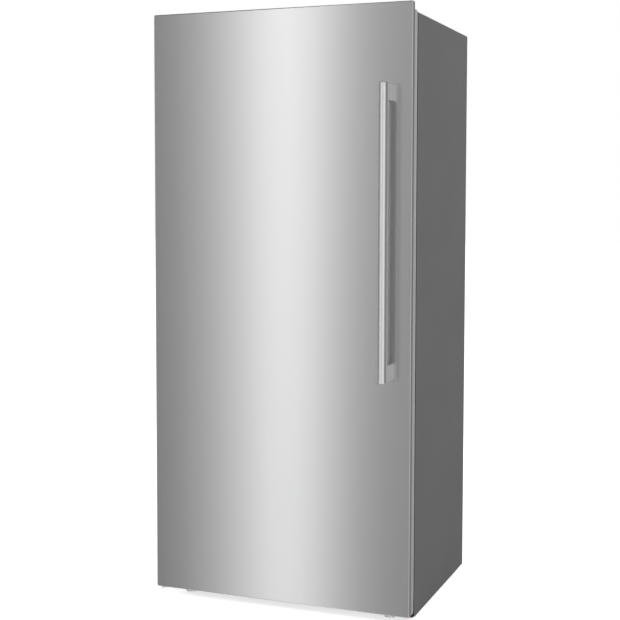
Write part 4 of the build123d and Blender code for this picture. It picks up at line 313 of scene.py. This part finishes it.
def card_material(stops, peak, rise):
    """Light that changes across. A stop is a place in metres and its strength, at most peak.

    The strength grows by the share rise for each metre upwards, and is as written at 1 m.
    """
    material = bpy.data.materials.new("card")
    parts, links = blank(material)
    coordinates, split = parts.new("ShaderNodeTexCoord"), parts.new("ShaderNodeSeparateXYZ")
    links.new(coordinates.outputs["Object"], split.inputs[0])
    low, high = stops[0][0], stops[-1][0]
    across, ramp = parts.new("ShaderNodeMapRange"), parts.new("ShaderNodeValToRGB")
    across.inputs["From Min"].default_value = low
    across.inputs["From Max"].default_value = high
    links.new(split.outputs["X"], across.inputs["Value"])
    links.new(across.outputs["Result"], ramp.inputs["Fac"])
    ramp.color_ramp.interpolation = "CARDINAL"
    elements = ramp.color_ramp.elements
    ready = len(elements)
    for k, (x, strength) in enumerate(stops):
        place = (x - low) / (high - low)
        stop = elements[k] if k < ready else elements.new(place)
        stop.position = place
        stop.color = (*even(strength / peak), 1.0)
    upward, times = parts.new("ShaderNodeMath"), parts.new("ShaderNodeMath")
    upward.operation, times.operation = "MULTIPLY_ADD", "MULTIPLY"
    links.new(split.outputs["Z"], upward.inputs[0])
    upward.inputs[1].default_value = rise
    upward.inputs[2].default_value = 1.0 - rise
    links.new(upward.outputs[0], times.inputs[0])
    times.inputs[1].default_value = peak
    glow, out = parts.new("ShaderNodeEmission"), parts.new("ShaderNodeOutputMaterial")
    links.new(ramp.outputs["Color"], glow.inputs["Color"])
    links.new(times.outputs[0], glow.inputs["Strength"])
    links.new(glow.outputs[0], out.inputs["Surface"])
    return material


def plane(name, corners, material):
    mesh = bpy.data.meshes.new(name)
    mesh.from_pydata(corners, [], [(0, 1, 2, 3)])
    mesh.materials.append(material)
    piece = bpy.data.objects.new(name, mesh)
    bpy.context.scene.collection.objects.link(piece)
    return piece


# The card and flags are what the metal reflects. The card stands in front of the object, two
# flags beside it, two behind it with a gap between them, and one hangs over it.
WALL_LOW, WALL_HIGH = -3.0, 4.5


def wall(name, start, stop, material):
    """Upright plane over a line on the floor, from start to stop."""
    return plane(
        name,
        [(*start, WALL_LOW), (*stop, WALL_LOW), (*stop, WALL_HIGH), (*start, WALL_HIGH)],
        material,
    )


def level_plane(name, near_left, far_right, height, material):
    (x0, y0), (x1, y1) = near_left, far_right
    return plane(
        name,
        [(x0, y0, height), (x1, y0, height), (x1, y1, height), (x0, y1, height)],
        material,
    )


WORLD_LEVEL = 0.62
white_world(WORLD_LEVEL)

FLOOR_REACH = 30.0
FLOOR_COLOUR, FLOOR_LIFT = (0.8, 0.8, 0.8), 0.72
floor = level_plane(
    "floor",
    (-FLOOR_REACH, -FLOOR_REACH),
    (FLOOR_REACH, FLOOR_REACH),
    0.0,
    floor_material(FLOOR_COLOUR, FLOOR_LIFT),
)
floor.visible_glossy = False

CARD_Y = -2.8
CARD_PEAK, CARD_RISE = 3.0, 0.05
CARD_STOPS = [
    (-2.4, 0.5),
    (-2.05, 0.18),
    (-1.75, 0.24),
    (-1.45, 0.66),
    (-1.2, 1.18),
    (-1.02, 2.4),
    (-0.85, 1.45),
    (-0.65, 0.58),
    (-0.45, 0.42),
    (-0.2, 0.42),
    (0.3, 0.7),
    (0.9, 0.8),
    (1.5, 0.8),
]
CARD_LEFT, CARD_RIGHT = CARD_STOPS[0][0], CARD_STOPS[-1][0]
card = wall(
    "gradient_card",
    (CARD_LEFT, CARD_Y),
    (CARD_RIGHT, CARD_Y),
    card_material(CARD_STOPS, CARD_PEAK, CARD_RISE),
)

FLAG_X, FLAG_FRONT, FLAG_BACK = 3.2, -2.2, 2.6
FLAG_GAP = 0.55  # half of the gap between the two rear flags
FLAG_LEVEL = 0.26
OVERHEAD_Z, OVERHEAD_LEVEL = 4.6, 0.12
flag_material = glow_material("flag", FLAG_LEVEL)
flags = [
    wall("flag_left", (-FLAG_X, FLAG_FRONT), (-FLAG_X, FLAG_BACK), flag_material),
    wall("flag_right", (FLAG_X, FLAG_FRONT), (FLAG_X, FLAG_BACK), flag_material),
    wall("rear_flag_left", (-FLAG_X, FLAG_BACK), (-FLAG_GAP, FLAG_BACK), flag_material),
    wall("rear_flag_right", (FLAG_GAP, FLAG_BACK), (FLAG_X, FLAG_BACK), flag_material),
    level_plane(
        "flag_overhead",
        (-FLAG_X, CARD_Y),
        (FLAG_X, FLAG_BACK),
        OVERHEAD_Z,
        glow_material("overhead_flag", OVERHEAD_LEVEL),
    ),
]
for piece in (card, *flags):
    for ray in ("camera", "diffuse", "transmission", "shadow"):
        setattr(piece, f"visible_{ray}", False)

LAMP_TARGET = Vector((0.0, 0.0, 0.9))
LAMPS = [  # name, place, width, height, watts
    ("key", (-2.4, -4.2, 3.4), 2.2, 2.2, 95.0),
    ("side", (3.6, 0.5, 3.0), 1.8, 2.0, 48.0),
    ("top", (0.3, -0.4, 4.5), 2.4, 2.4, 38.0),
]
for name, place, width, height, watts in LAMPS:
    light = bpy.data.lights.new(name, "AREA")
    light.shape = "RECTANGLE"
    light.size, light.size_y, light.energy = width, height, watts
    lamp = bpy.data.objects.new(name, light)
    lamp.location = place
    lamp.rotation_euler = (LAMP_TARGET - lamp.location).to_track_quat("-Z", "Y").to_euler()
    lamp.visible_glossy = False
    lamp.visible_camera = False
    bpy.context.scene.collection.objects.link(lamp)


# ---------------------------------------------------------------- camera
# Fitted to ten points of the photograph: the eight visible corners and the bar's two ends.

CAMERA_PLACE = (1.4317, -3.7109, 1.2663)
YAW, PITCH, ROLL = (math.radians(angle) for angle in (21.209, -3.566, 0.11))
LENS, SENSOR_WIDTH, SHIFT_Y = 71.519, 36.0, -0.058

camera_data = bpy.data.cameras.new("camera")
camera_data.lens = LENS
camera_data.sensor_width = SENSOR_WIDTH
camera_data.shift_y = SHIFT_Y
camera = bpy.data.objects.new("camera", camera_data)
camera.matrix_world = (
    Matrix.Translation(CAMERA_PLACE)
    @ Matrix.Rotation(YAW, 4, "Z")
    @ Matrix.Rotation(math.pi / 2 + PITCH, 4, "X")
    @ Matrix.Rotation(ROLL, 4, "Z")
)
bpy.context.scene.collection.objects.link(camera)
bpy.context.scene.camera = camera

bpy.context.scene.view_settings.view_transform = "Standard"

bpy.context.view_layer.update()
